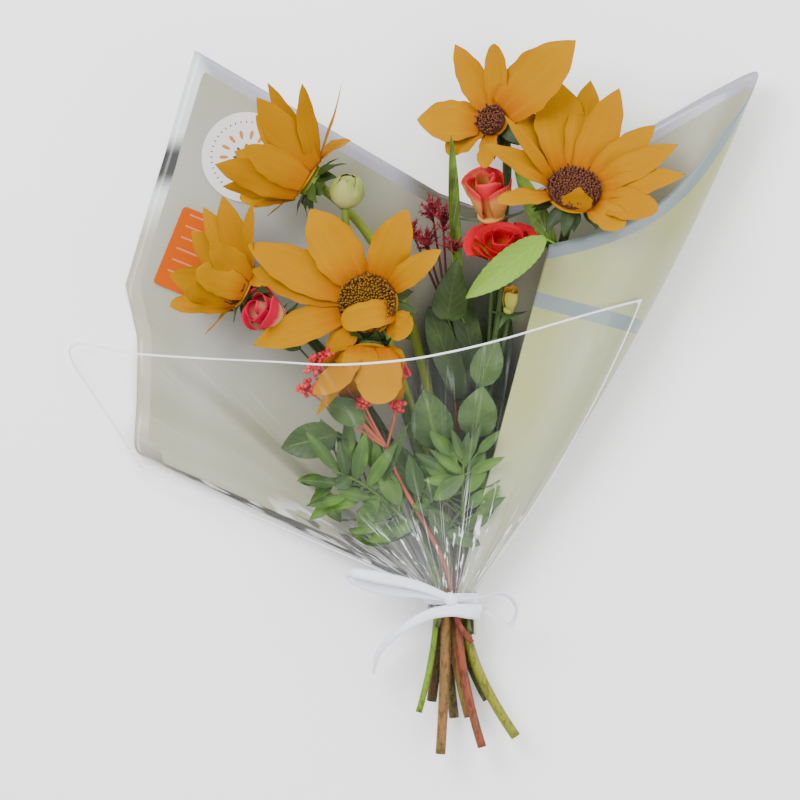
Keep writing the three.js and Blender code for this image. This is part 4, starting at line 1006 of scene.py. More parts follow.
def price_label_paint(settings):
    """Orange paper with a few plain pale rules."""
    p = Paint("price label", Roughness=0.75, Specular_IOR_Level=0.05)
    u, v, _ = p.split(p.uv())
    rows = p.gap(p.math("FRACT", p.times(v, 7.0)), 0.5)
    line = p.fall(rows, 0.05, 0.09)
    inside = p.times(p.ramp(u, 0.16, 0.18), p.fall(u, 0.78, 0.8))
    inside = p.times(inside, p.ramp(v, 0.18, 0.2))
    rules = p.times(p.times(line, inside), 0.6)
    p.set("Base Color", p.mixed(rules, settings.price_label, (0.55, 0.24, 0.14)))
    return p.material


def plain_paint(name, colour, light):
    """One colour with patches of a lighter one."""
    p = Paint(name, Roughness=0.6, Specular_IOR_Level=0.25)
    p.set("Base Color", p.mixed(p.ramp(p.noise(p.place(), 120), 0.4, 0.65), colour, light))
    return p.material


# ------------------------------------------------------------------ geometry nodes
class Tree(Nodes):
    """A geometry node tree with named inputs, which sets a small shape on each of many points."""

    def __init__(self, name, **inputs):
        self.tree = bpy.data.node_groups.new(name, "GeometryNodeTree")
        sockets = self.tree.interface
        sockets.new_socket("Geometry", in_out="INPUT", socket_type="NodeSocketGeometry")
        for title, kind in inputs.items():
            sockets.new_socket(title.replace("_", " "), in_out="INPUT", socket_type=f"NodeSocket{kind}")
        sockets.new_socket("Geometry", in_out="OUTPUT", socket_type="NodeSocketGeometry")
        self.inputs = self.tree.nodes.new("NodeGroupInput").outputs
        self.output = self.tree.nodes.new("NodeGroupOutput").inputs[0]

    def combined(self, x, y, z):
        return self.node("ShaderNodeCombineXYZ", {0: x, 1: y, 2: z}).outputs[0]

    def stored(self, geometry, name, value):
        inputs = {0: geometry, "Name": name, "Value": value}
        kinds = {"data_type": "FLOAT", "domain": "POINT"}
        return self.node("GeometryNodeStoreNamedAttribute", inputs, **kinds).outputs[0]

    def cone(self, sides, top):
        inputs = {"Vertices": sides, "Radius Top": top, "Radius Bottom": 0.5, "Depth": 1.0}
        return self.node("GeometryNodeMeshCone", inputs).outputs[0]

    def jitter(self, low, high):
        inputs = {2: low, 3: high, "Seed": self.inputs["Seed"]}
        return self.node("FunctionNodeRandomValue", inputs, data_type="FLOAT").outputs[1]

    def finish(self, points, shape, turn, scale):
        """Sets the shape on the points, and makes the result real and painted."""
        inputs = {"Points": points, "Instance": shape, "Rotation": turn, "Scale": scale}
        spread = self.node("GeometryNodeInstanceOnPoints", inputs).outputs[0]
        real = self.node("GeometryNodeRealizeInstances", {0: spread}).outputs[0]
        painted = self.node("GeometryNodeSetMaterial", {0: real, "Material": self.inputs["Material"]})
        self.feed(self.output, painted.outputs[0])

    def run(self, name, mesh, values):
        """The result on `mesh` as a plain mesh object."""
        source = link(name, mesh)
        modifier = source.modifiers.new("repeat", "NODES")
        modifier.node_group = self.tree
        for item in self.tree.interface.items_tree:
            if item.in_out == "INPUT" and item.name in values:
                modifier[item.identifier] = values[item.name]
        graph = bpy.context.evaluated_depsgraph_get()
        made = bpy.data.meshes.new_from_object(source.evaluated_get(graph))
        source.modifiers.remove(modifier)
        source.data = made
        made.materials.clear()
        made.materials.append(values["Material"])
        return source


def floret_tree():
    """Florets set on a spiral over a dome; the outer ones are taller and open."""
    tree = Tree(
        "Disc florets", Count="Int", Radius="Float", Dome="Float", Floret_Width="Float",
        Floret_Height="Float", Seed="Int", Material="Material",
    )
    given = tree.inputs
    line = tree.node("GeometryNodeMeshLine", {"Count": given["Count"]}).outputs[0]
    index = tree.node("GeometryNodeInputIndex").outputs[0]
    share = tree.math("SQRT", tree.over(tree.plus(index, 0.5), given["Count"]))
    angle = tree.times(index, GOLDEN_ANGLE)
    radius = tree.times(share, given["Radius"])
    fall = tree.power(share, 3.0)
    place = tree.combined(
        tree.times(radius, tree.math("COSINE", angle)),
        tree.times(radius, tree.math("SINE", angle)),
        tree.times(given["Dome"], tree.rest(tree.times(fall, 0.5))),
    )
    placed = tree.node("GeometryNodeSetPosition", {0: line, "Position": place}).outputs[0]
    lift = tree.node("GeometryNodeInputPosition").outputs[0]
    rise = tree.node("ShaderNodeSeparateXYZ", {0: lift}).outputs[2]
    floret = tree.stored(tree.cone(5, 0.3), "mark", rise)
    tall = tree.times(tree.jitter(0.7, 1.35), given["Floret Height"])
    tall = tree.times(tall, tree.plus(0.7, tree.times(fall, 0.9)))
    scale = tree.combined(given["Floret Width"], given["Floret Width"], tall)
    lean = {0: (-0.4, -0.4, 0), 1: (0.4, 0.4, 3)}
    lean = tree.node("FunctionNodeRandomValue", lean, data_type="FLOAT_VECTOR").outputs[0]
    tree.finish(tree.stored(placed, "tone", share), floret, lean, scale)
    return tree


def hair_tree():
    """Fine stiff hairs that stand on a stem."""
    tree = Tree(
        "Stem hairs", Density="Float", Hair_Length="Float", Hair_Width="Float", Seed="Int",
        Material="Material",
    )
    given = tree.inputs
    inputs = {0: given["Geometry"], "Density": given["Density"], "Seed": given["Seed"]}
    feet = tree.node("GeometryNodeDistributePointsOnFaces", inputs).outputs
    tall = tree.times(tree.jitter(0.5, 1.2), given["Hair Length"])
    scale = tree.combined(given["Hair Width"], given["Hair Width"], tall)
    tree.finish(feet["Points"], tree.cone(3, 0.0), feet["Rotation"], scale)
    return tree


# ------------------------------------------------------------------ films
def film_point(row, radius, t):
    """A point on the way from the ring at the tie to one row of a rim."""
    x, y, z, degrees, bow_side, bow_up = row
    a = math.radians(degrees)
    neck = TIE + Vector((radius * math.cos(a), HOLD, radius * math.sin(a)))
    drop = smoothstep(t, 0, FLAT_FROM) if z < 1 else t
    bow = 2 * t * (1 - t)
    return Vector((
        mix(neck.x, x, t) + bow_side * bow, mix(neck.y, y, t), mix(neck.z, z, drop) + bow_up * bow,
    ))


def along_rim(values, u, straight=()):
    """A smooth value at `u`, a share of the way along a list of rows.

    The stretches after the rows in `straight` are straight lines."""
    last = len(values) - 1
    k = min(int(u * last), last - 1)
    s = u * last - k
    if k in straight:
        return values[k] * (1 - s) + values[k + 1] * s
    p = [values[min(max(k + i, 0), last)] for i in (-1, 0, 1, 2)]
    return 0.5 * (
        2 * p[1] + (p[2] - p[0]) * s + (2 * p[0] - 5 * p[1] + 4 * p[2] - p[3]) * s**2
        + (3 * p[1] - p[0] - 3 * p[2] + p[3]) * s**3
    )


def film_lines(rim, radius, across, along, ripple, tail):
    """The points of a film, in lines from the end of its tail over the tie to its rim."""
    grid = []
    straight = [k for k in range(len(rim) - 1) if max(rim[k][2], rim[k + 1][2]) < 1.5]
    for i in range(across + 1):
        u = i / across
        line = []
        degrees = along_rim([row[3] for row in rim], u)
        a = math.radians(degrees)
        out = Vector((math.cos(a), 0, math.sin(a)))
        start = along_rim([film_point(row, radius, 0) for row in rim], u)
        reach = tail(degrees)
        for share in (1.0, 0.66, 0.33):
            flare = out * 0.8 * share + Vector((0, -2 * HOLD - (reach - HOLD) * share, 0))
            line.append(start + flare)
        line += [start - Vector((0, 2 * HOLD, 0)), start - Vector((0, HOLD, 0))]
        for j in range(along + 1):
            t = (j / along) ** 1.3
            p = along_rim([film_point(row, radius, t) for row in rim], u, straight)
            p += ripple(u, t, degrees)
            p.z = max(p.z, FILM_FLOOR)
            line.append(p)
        grid.append(line)
    return grid


def film_marks(grid, hemmed):
    """How far each point of a film is from its edges with a border.

    `hemmed` says which of its first and last lines count as such edges, besides the rim."""
    rows, cols = len(grid), len(grid[0])
    rim_line = [line[-1] for line in grid]
    marks = []
    for i, line in enumerate(grid):
        nearby = rim_line[max(i - 14, 0):i + 15]
        row_marks = []
        for j, p in enumerate(line):
            edge = min((p - q).length for q in nearby) if j > cols * 0.55 else FAR_FROM_EDGE
            for k in hemmed:
                if abs(i - k % rows) < rows * 0.3:
                    edge = min(edge, (p - grid[k][j]).length)
            row_marks.append(edge)
        marks.append(row_marks)
    return marks


def film(skin, grid, thick, tone, hemmed):
    """A closed sheet of even thickness through a film's points."""
    rows, cols = len(grid), len(grid[0])
    marks = film_marks(grid, hemmed)
    top, under = [], []
    for i in range(rows):
        top_row, under_row = [], []
        for j in range(cols):
            across = grid[min(i + 1, rows - 1)][j] - grid[max(i - 1, 0)][j]
            along = grid[i][min(j + 1, cols - 1)] - grid[i][max(j - 1, 0)]
            n = across.cross(along).normalized()
            uv = (i / (rows - 1), j / (cols - 1))
            skin.tone = tone(grid[i][j])
            for shift, made in ((thick / 2, top_row), (-thick / 2, under_row)):
                place = grid[i][j] + n * shift
                place.z = max(place.z, TABLE_GAP)
                made.append(skin.add(place, uv, marks[i][j]))
        top.append(top_row)
        under.append(under_row)
    rings = [top[i] + list(reversed(under[i])) for i in range(rows)]
    skin.loft(rings, False, False)
    for i, flip in ((0, False), (rows - 1, True)):
        for j in range(cols - 1):
            corners = (top[i][j], top[i][j + 1], under[i][j + 1], under[i][j])
            skin.face(*(reversed(corners) if flip else corners))


# ------------------------------------------------------------------ operators
def settings_of(context):
    return context.scene.bouquet


class BOUQUET_OT_wrap(bpy.types.Operator):
    """Builds the pearl film wrap and the clear film in front of the flowers"""

    bl_idname = "bouquet.wrap"
    bl_label = "Film wrap"

    def execute(self, context):
        settings = settings_of(context)
        thick = settings.film_thickness / MM

        def wrap_ripple(u, t, degrees):
            pleats = 1.6 * math.sin(math.radians(degrees) * 9) * (1 - t) ** 2 * min(t * 6, 1)
            wave = 0.0
            if degrees < LYING[0]:
                wave = 2.2 * t * math.sin(degrees * 0.42 + 5 * t)
            if degrees > LYING[1]:
                wave = 1.6 * t * math.sin(degrees * 0.13) * (1 - 0.5 * t)
            return Vector((0, 0, abs(pleats) * 0.5 + wave))

        def wrap_tail(degrees):
            return LONG_TAIL if LONG_TAILED[0] < degrees < LONG_TAILED[1] else TAIL

        skin = Skin()
        lines = film_lines(WRAP_RIM, NECK_RADIUS, 240, 64, wrap_ripple, wrap_tail)
        film(skin, lines, thick, lambda p: 0.0, (0,))
        skin.object("wrap_sheet", [film_paint(settings)], "wrap_film", "wrap_film")

        def clear_ripple(u, t, degrees):
            crumple = math.sin(math.radians(degrees) * 14) * (1 - t) ** 1.5 * min(t * 8, 1) * 3.2
            sag = 2.5 * math.sin(7 * u + 4 * t) * t * (1 - 0.3 * t)
            fine = 1.2 * math.sin(23 * u + 9 * t) * math.sin(13 * t) * (1 - t)
            return Vector((0, 0, crumple + sag + fine))

        def near_tie(p):
            return smoothstep(-(p - TIE).length, -190, -30)

        skin = Skin()
        radius = NECK_RADIUS + FILM_STEP
        lines = film_lines(CLEAR_RIM, radius, 160, 56, clear_ripple, lambda degrees: TAIL)
        film(skin, lines, thick * 0.7, near_tie, (0, -1))
        skin.object("clear_film_sheet", [clear_paint()], "clear_film", "clear_film")
        return {"FINISHED"}


class BOUQUET_OT_ribbon(bpy.types.Operator):
    """Builds the ribbon: its band, its knot, its loops and its tails"""

    bl_idname = "bouquet.ribbon"
    bl_label = "Ribbon"

    def execute(self, context):
        skin = Skin()
        band = {"at": TIE[:], "faces": (0, -1, 0)}
        half = RIBBON_WIDTH / 2
        inner, outer = RIBBON_RADIUS, RIBBON_RADIUS + 0.5
        profile = [(outer, -half), (outer + 0.25, -half * 0.4), (outer + 0.25, half * 0.4), (outer, half),
                   (inner, half), (inner, -half), (outer, -half)]
        lathe(skin, band, profile, 48, 0.006)
        knot = [(0, -3.4)] + [
            (5.2 * math.sin(math.pi * k / 8) ** 0.8, -3.4 * math.cos(math.pi * k / 8)) for k in range(1, 8)
        ] + [(0, 3.4)]
        lathe(skin, {"at": KNOT, "faces": (0.2, 0, 1)}, knot, 24, 0.09)
        for points in RIBBON_STRIPS.values():
            self.strip(skin, points)
        skin.object("satin_ribbon", [ribbon_paint(settings_of(context))], "ribbon", "ribbon")
        return {"FINISHED"}

    def strip(self, skin, points):
        steps = (len(points) - 1) * 14
        rings = []
        values = [Vector(p[:3]) for p in points]
        for i in range(steps + 1):
            t = i / steps
            p = along_rim(values, t)
            way = (along_rim(values, min(t + 0.01, 1)) - along_rim(values, max(t - 0.01, 0))).normalized()
            width = along_rim([q[3] for q in points], t)
            turn = math.radians(along_rim([q[4] for q in points], t))
            side = Matrix.Rotation(turn, 3, way) @ Vector((0, 0, 1)).cross(way).normalized()
            n = side.cross(way).normalized()
            ring, back = [], []
            for j in range(5):
                s = 2 * j / 4 - 1
                place = p - side * s * width / 2 + n * (0.5 * s * s - 0.3)
                ring.append(skin.add(place + n * 0.15, ((s + 1) / 2, t * 6)))
                back.append(skin.add(place - n * 0.15, ((s + 1) / 2, t * 6)))
            rings.append(ring + list(reversed(back)))
        skin.loft(rings)


class BOUQUET_OT_labels(bpy.types.Operator):
    """Builds the round paper label and the price label on the wrap"""

    bl_idname = "bouquet.labels"
    bl_label = "Labels"

    def execute(self, context):
        skin = Skin()
        radius = ROUND_LABEL["radius"]
        top = LABEL_FLOOR + LABEL_HEIGHT
        head = {"at": (ROUND_LABEL["x"], ROUND_LABEL["y"], 0), "faces": (0, 0, 1)}
        lathe(skin, head, [
            (0, LABEL_FLOOR), (radius, LABEL_FLOOR), (radius, top - 0.15), (radius - 0.15, top), (0, top),
        ], 96)
        skin.object("round_label", [round_label_paint()], "label_round", "label_round", smooth=False)

        skin = Skin()
        w, l, corner = PRICE_LABEL["width"] / 2, PRICE_LABEL["length"] / 2, PRICE_LABEL["corner"]
        outline = []
        for cx, cy, start in ((w, l, 0), (-w, l, 90), (-w, -l, 180), (w, -l, 270)):
            for k in range(7):
                a = math.radians(start + 15 * k)
                outline.append((
                    cx - math.copysign(corner, cx) + corner * math.cos(a),
                    cy - math.copysign(corner, cy) + corner * math.sin(a),
                ))
        turn = Matrix.Rotation(math.radians(PRICE_LABEL["turn"]), 3, "Z")
        place = Vector((PRICE_LABEL["x"], PRICE_LABEL["y"], 0))
        rings = []
        for z in (LABEL_FLOOR, top):
            rings.append([
                skin.add(turn @ Vector((x, y, 0)) + place + Vector((0, 0, z)),
                         (0.5 + x / (2 * w), 0.5 + y / (2 * l)))
                for x, y in reversed(outline)
            ])
        skin.loft(rings)
        paint = price_label_paint(settings_of(context))
        skin.object("price_label", [paint], "label_price", "label_price", smooth=False)
        return {"FINISHED"}


class BOUQUET_OT_sunflower_petals(bpy.types.Operator):
    """Builds the rings of yellow petals"""

    bl_idname = "bouquet.sunflower_petals"
    bl_label = "Sunflower petals"

    def execute(self, context):
        settings = settings_of(context)
        paint = petal_paint(settings)
        for seed, (name, head) in enumerate(SUNFLOWERS.items()):
            rng = random.Random(100 + seed)
            n, x, y = facing(head["faces"])
            skin = Skin()
            inner, outer = head["disc"] - 3, head["disc"] + 0.3
            lathe(skin, head, [
                (inner, RAY_FLOOR), (outer, RAY_FLOOR), (outer, RAY_FOOT - 0.3), (inner, RAY_TOP),
                (inner, RAY_FLOOR),
            ])
            for angle, length, width, rise, curl, *turned in head["rays"]:
                a = math.radians(angle)
                root = x * math.cos(a) + y * math.sin(a)
                a += math.radians(sum(turned))
                way = x * math.cos(a) + y * math.sin(a)
                up_turn = turned_up(way, n, rise + curl * 0.4) if rise > 35 else OVERLAP
                outline = "ray" if length > 44 else "bract" if rise > 80 and length < 30 else "rounded"
                skin.tone = rng.random()
                blade(skin, {
                    "base": Vector(head["at"]) + root * (head["disc"] - 1.2) + n * RAY_FOOT,
                    "dir": way, "up": n, "length": length + 1.6,
                    "width": width, "outline": outline,
                    "rise": rise, "curl": curl, "cup": 0.12, "roll": 0 if turned else up_turn,
                    "thick": settings.petal_thickness / MM, "rows": 30, "cols": 14,
                    "wave": (width * 0.045, 1.1 + rng.random(), 6.3 * rng.random()),
                    "ridges": (3.4, 0.24), "sway": 0.14 * (rng.random() - 0.5),
                    "ragged": 0.5 * rng.random(), "twist": 10 * (rng.random() - 0.5),
                })
            skin.object(f"petals_{name}", [paint], f"sunflower_{name}_rays", "ray_petals")
        return {"FINISHED"}


class BOUQUET_OT_sunflower_discs(bpy.types.Operator):
    """Builds the domed discs with their spirals of florets"""

    bl_idname = "bouquet.sunflower_discs"
    bl_label = "Sunflower discs"

    def execute(self, context):
        settings = settings_of(context)
        olive = disc_paint("olive disc", (0.13, 0.085, 0.004), (0.09, 0.028, 0.006), (0.2, 0.09, 0.004))
        brown = disc_paint("brown disc", (0.075, 0.022, 0.01), (0.055, 0.012, 0.008), (0.12, 0.04, 0.02))
        tree = floret_tree()
        largest = max(head["disc"] for head in SUNFLOWERS.values())
        for seed, (name, head) in enumerate(SUNFLOWERS.items()):
            radius = head["disc"]
            paint = olive if name == "front" else brown
            skin = Skin()
            skin.tone = 0.8
            edge = radius - head.get("inset", 0)
            dome = [(0, DISC_FLOOR), (edge - 1, DISC_FLOOR)]
            dome += [(edge * share, DISC_FLOOR + height) for share, height in reversed(DISC_RINGS)]
            lathe(skin, head, dome, 40)
            skin.object(f"disc_{name}", [paint], f"sunflower_{name}_disc", "flower_discs")
            n, x, y = facing(head["faces"])
            turn = Matrix((x, y, n)).transposed().to_4x4()
            turn.translation = (Vector(head["at"]) + SHIFT) * MM
            florets = tree.run(f"florets_{name}", bpy.data.meshes.new("florets"), {
                "Count": int(settings.disc_florets * (edge / largest) ** 2),
                "Radius": (edge - 0.8) * MM, "Dome": (DISC_FLOOR + FLORET_DOME) * MM,
                "Floret Width": FLORET_WIDTH * MM, "Floret Height": FLORET_HEIGHT * MM,
                "Seed": seed, "Material": paint,
            })
            florets.data.transform(turn)
            dress(florets, "flower_discs")
        return {"FINISHED"}


def bract_ring(skin, head, thick, rng):
    """Two rings of green bracts behind the petals."""
    n, x, y = facing(head["faces"])
    for layer, (count, more, drop, rise) in enumerate((
        (BRACTS, 0, -4.4, -4), (BRACTS + 3, -3, -5.6, -26),
    )):
        for i in range(count):
            a = 2 * math.pi * (i + 0.3 + 0.5 * layer) / count
            direction = x * math.cos(a) + y * math.sin(a)
            length = head.get("bract", BRACT_LENGTH) + more + 3 * (i % 3)
            skin.tone = rng.random()
            blade(skin, {
                "base": Vector(head["at"]) + direction * (head["disc"] - 7) + n * drop,
                "dir": direction, "up": n, "length": length, "width": 10,
                "outline": "bract", "rise": rise if i % 2 or layer else -16, "curl": -20, "cup": 0.15,
                "thick": thick, "rows": 14, "cols": 6, "wave": (0.6, 1.3, 6 * rng.random()),
            })


class BOUQUET_OT_sunflower_stems(bpy.types.Operator):
    """Builds the stems, cups, bracts and leaves of the sunflowers"""

    bl_idname = "bouquet.sunflower_stems"
    bl_label = "Sunflower stems"

    def execute(self, context):
        settings = settings_of(context)
        thick = settings.leaf_thickness / MM
        greens = ((0.05, 0.08, 0.008), (0.13, 0.24, 0.02), (0.2, 0.32, 0.06))
        leaf_green = green_paint("sunflower leaf", *greens)
        # The bract green also paints the dark leaves, partly as painted shade deep among the stems.
        greens = ((0.015, 0.028, 0.006), (0.036, 0.062, 0.011), (0.05, 0.08, 0.022))
        bract_green = green_paint("bract", *greens)
        down = plain_paint("stem hairs", (0.3, 0.32, 0.17), (0.42, 0.42, 0.3))
        tree = hair_tree()
        for seed, (name, head) in enumerate(SUNFLOWERS.items()):
            rng = random.Random(200 + seed)
            n, _, _ = facing(head["faces"])
            skin = Skin()
            skin.paint = BRACT_PAINT
            bract_ring(skin, head, thick, rng)
            path = stem_path(head, Vector(head["at"]) - n * SUNFLOWER_CUP, n)
            # Dark leaves come first and take the bract green: partly their own darker green, partly
            # painted shade.
            for leaf in sorted(head.get("leaves", []), key=lambda leaf: not leaf.get("dark")):
                skin.paint = BRACT_PAINT if leaf.get("dark") else LEAF_PAINT
                leaf_on(skin, path, leaf, thick, rng)
            skin.paint = STEM_PAINT
            cup = head["disc"] - 4.6
            lathe(skin, head, [
                (0, -15), (THICK_STEM, -14.6), (7, -11), (head["disc"] - 4, -6),
                (head["disc"] - 3, RAY_FLOOR - 0.55), (cup, RAY_FLOOR - 1.2), (cup, RAY_TOP), (0, RAY_TOP),
            ])
            skin.tone = 0.0
            self.stem(skin, path)
            if "shoot" in head:
                self.shoot(skin, path.at(head["shoot"]))
            high = HIGH_STEMS.get(name, (0.04, 0.07, 0.014))
            stem_green = stem_paint(f"sunflower stem {name}", high, LOW_STEMS[name])
            skin.object(
                f"greens_{name}", [leaf_green, stem_green, bract_green],
                f"sunflower_{name}_stem", "sunflower_greens",
            )
            bare = Skin()
            self.stem(bare, path)
            stem = bare.mesh("stem")
            area = sum(polygon.area for polygon in stem.polygons)
            hairs = tree.run(f"hairs_{name}", stem, {
                "Density": settings.stem_hairs / area, "Hair Length": settings.hair_length,
                "Hair Width": HAIR_WIDTH * MM, "Seed": seed, "Material": down,
            })
            dress(hairs, "sunflower_greens")
        return {"FINISHED"}

    def stem(self, skin, path):
        tube(skin, path, lambda t: THICK_STEM - 0.3 * t, 14, 70)

    def shoot(self, skin, root):
        n, _, _ = facing(GREEN_BUD["faces"])
        top = Vector(GREEN_BUD["at"]) - n * (GREEN_BUD["radius"] * 0.9 + 0.35)
        points = bezier([root, root + Vector((-8, 40, 2)), top - n * 40, top], 30)
        tube(skin, Path(points), lambda t: THIN_STEM + 0.6 * t, 10, 36)


class BOUQUET_OT_green_bud(bpy.types.Operator):
    """Builds the closed bud with its overlapping scales"""

    bl_idname = "bouquet.green_bud"
    bl_label = "Green bud"

    def execute(self, context):
        rng = random.Random(31)
        skin = Skin()
        r = GREEN_BUD["radius"]
        turns = [math.pi * k / 12 for k in range(1, 12)]
        core = [(r * 0.9 * math.sin(a), -r * 0.9 * math.cos(a)) for a in turns]
        lathe(skin, GREEN_BUD, [(0, -r * 0.9), *core, (0, r * 0.9)], 28)
        n, x, y = facing(GREEN_BUD["faces"])
        for i in range(BUD_SCALES):
            middle = i * GOLDEN_ANGLE
            tip = math.radians(24 + 4 * (i % 3))
            skin.tone = rng.random()
            grid = []
            for row in range(15):
                v = row / 14
                polar = mix(math.radians(158), tip, v)
                half = math.radians(46) * through([(0, 0.7), (0.4, 1), (0.75, 0.62), (1, 0.05)], v)
                lift = r * (0.955 + 0.006 * i) + 0.5 * v**3
                line = []
                for col in range(9):
                    s = 2 * col / 8 - 1
                    a = middle + s * half / max(math.sin(polar), 0.45)
                    reach = lift + 0.25 * math.cos(math.pi * s)
                    around = x * math.cos(a) + y * math.sin(a)
                    way = around * math.sin(polar) + n * math.cos(polar)
                    line.append(Vector(GREEN_BUD["at"]) + way * reach)
                grid.append(line)
            closed_sheet(skin, grid, 0.5)
        paint = green_paint("bud scales", (0.16, 0.2, 0.035), (0.28, 0.25, 0.08), (0.3, 0.32, 0.12))
        skin.object("bud_with_scales", [paint], "green_bud", "bud_scales")
        return {"FINISHED"}


def rose_petal(skin, bloom, k, thick, rng):
    """One petal of a rose, wider and more open the further out it is."""
    n, x, y = facing(bloom["faces"])
    centre = Vector(bloom["at"])
    share = (k + 1) / bloom["petals"]
    span = math.radians(mix(86, 52, share))
    radius, opened = bloom["radius"], bloom["open"]
    foot = radius * mix(0.12, 0.42, share)
    waist = radius * mix(0.24, 0.78, share)
    brim = radius * mix(0.14, mix(0.8, 1.1, opened), share)
    tall = bloom["height"] * mix(1, mix(0.95, 0.6, opened), share)
    rows, cols = 12, 14
    phase = 6.3 * rng.random()
    grid = []
    for i in range(rows + 1):
        v = i / rows
        r = through([(0, foot), (0.55, waist), (1, brim)], v)
        z = through([(0, 1), (0.55, tall * 0.55), (1, tall)], v)
        lip = smoothstep(v, 0.72, 1.0) * share * opened
        row = []
        for j in range(cols + 1):
            s = 2 * j / cols - 1
            a = k * GOLDEN_ANGLE + s * span * mix(0.7, 1, min(v * 2, 1))
            reach = r + s * 0.9 + lip * 2.2 + 0.35 * v * math.sin(3.2 * s + phase)
            drop = tall * 0.16 * abs(s) ** 2.4 * smoothstep(v, 0.5, 1) + lip * 1.6
            drop += 0.5 * v * math.sin(5 * s + phase) * share
            row.append(centre + (x * math.cos(a) + y * math.sin(a)) * reach + n * (z - drop))
        grid.append(row)
    closed_sheet(skin, grid, thick)


class BOUQUET_OT_roses(bpy.types.Operator):
    """Builds the rose blooms, with petals wrapped round one another"""

    bl_idname = "bouquet.roses"
    bl_label = "Roses"

    def execute(self, context):
        settings = settings_of(context)
        rim, heart = settings.rose_rim, settings.rose_heart
        peaches = ((0.52, 0.02, 0.03), (0.52, 0.22, 0.05), (0.42, 0.22, 0.05))
        pinks = ((0.4, 0.004, 0.03), (0.5, 0.26, 0.14), (0.36, 0.3, 0.09))
        pales = ((0.4, 0.16, 0.01), (0.32, 0.3, 0.05), (0.2, 0.24, 0.05))
        red = rose_paint("red rose petal", rim, heart, (0.42, 0.16, 0.02), 0.5)
        peach = rose_paint("peach rose petal", *peaches, 0.74)
        pink = rose_paint("pink rose petal", *pinks, 0.66)
        pale = rose_paint("pale rose petal", *pales, 0.9)
        finishes = {
            "upper": (peach, "red_rose_petals"), "lower": (red, "red_rose_petals"),
            "bud": (pale, "pale_rose_petals"), "left": (pink, "pink_rose_petals"),
        }
        thick = settings.petal_thickness / MM
        for seed, (name, bloom) in enumerate(ROSES.items()):
            rng = random.Random(300 + seed)
            skin = Skin()
            foot = bloom["radius"] * 0.46
            lathe(skin, bloom, [(0, 0), (foot, 0), (foot, ROSE_FLOOR), (0, ROSE_FLOOR + 1)], 24)
            for k in range(bloom["petals"]):
                skin.tone = rng.random()
                rose_petal(skin, bloom, k, thick, rng)
            paint, slot = finishes[name]
            skin.object(f"bloom_{name}", [paint], f"rose_{name}", slot)
        return {"FINISHED"}


def rose_cup(skin, bloom, thick):
    """The green cup under a rose, with its five sepals."""
    n, x, y = facing(bloom["faces"])
    r = bloom["radius"] * 0.3
    lathe(skin, bloom, [(0, -9), (2, -8), (r * 0.8, -5.6), (r, -3.4), (r, -0.45), (0, -0.4)], 18)
    for i in range(SEPALS):
        a = math.radians(i * 360 / SEPALS + 20)
        direction = x * math.cos(a) + y * math.sin(a)
        blade(skin, {
            "base": Vector(bloom["at"]) + direction * r * 0.7 - n * 2.2, "dir": direction, "up": n,
            "length": bloom["height"] * 0.7, "width": 6, "outline": "sepal", "rise": -12,
            "curl": -50 if i % 2 else 30, "thick": thick, "rows": 12, "cols": 6,
        })


class BOUQUET_OT_rose_stems(bpy.types.Operator):
    """Builds the rose stems with their cups, sepals and toothed leaves"""

    bl_idname = "bouquet.rose_stems"
    bl_label = "Rose stems"

    def execute(self, context):
        settings = settings_of(context)
        thick = settings.leaf_thickness / MM
        leaf_green = green_paint("rose leaf", settings.leaf, (0.06, 0.11, 0.028), (0.13, 0.2, 0.06), 0.45)
        lows = {"right": (0.19, 0.035, 0.014), "left": (0.12, 0.21, 0.0)}
        for seed, (name, stem) in enumerate(ROSE_STEMS.items()):
            rng = random.Random(400 + seed)
            skin = Skin()
            main = ROSES[stem["main"]]
            n = Vector(main["faces"]).normalized()
            path = stem_path(stem, Vector(main["at"]) - n * ROSE_CUP, n)
            for entry in stem["leaves"]:
                leaf_on(skin, path, {"outline": "ovate", **entry}, thick, rng)
            for bloom_name in [stem["main"]] + [side for side, _ in stem["sides"]]:
                rose_cup(skin, ROSES[bloom_name], thick)
            skin.paint = STEM_PAINT
            tube(skin, path, lambda t: stem["radius"] - 0.8 * t, 12, 70)
            for side, at in stem["sides"]:
                out = Vector(ROSES[side]["faces"]).normalized()
                top = Vector(ROSES[side]["at"]) - out * ROSE_CUP
                branch = Path(bezier([path.at(at), top - out * 22, top], 16))
                tube(skin, branch, lambda t: mix(2, 1.6, t), 10, 20)
            stem_green = stem_paint(f"rose stem {name}", (0.035, 0.06, 0.014), lows[name])
            paints = [leaf_green, stem_green]
            skin.object(f"rose_greens_{name}", paints, f"rose_stem_{name}", "rose_greens")
        return {"FINISHED"}


def any_way(rng):
    """A random direction."""
    return Vector((rng.gauss(0, 1), rng.gauss(0, 1), rng.gauss(0, 1))).normalized()


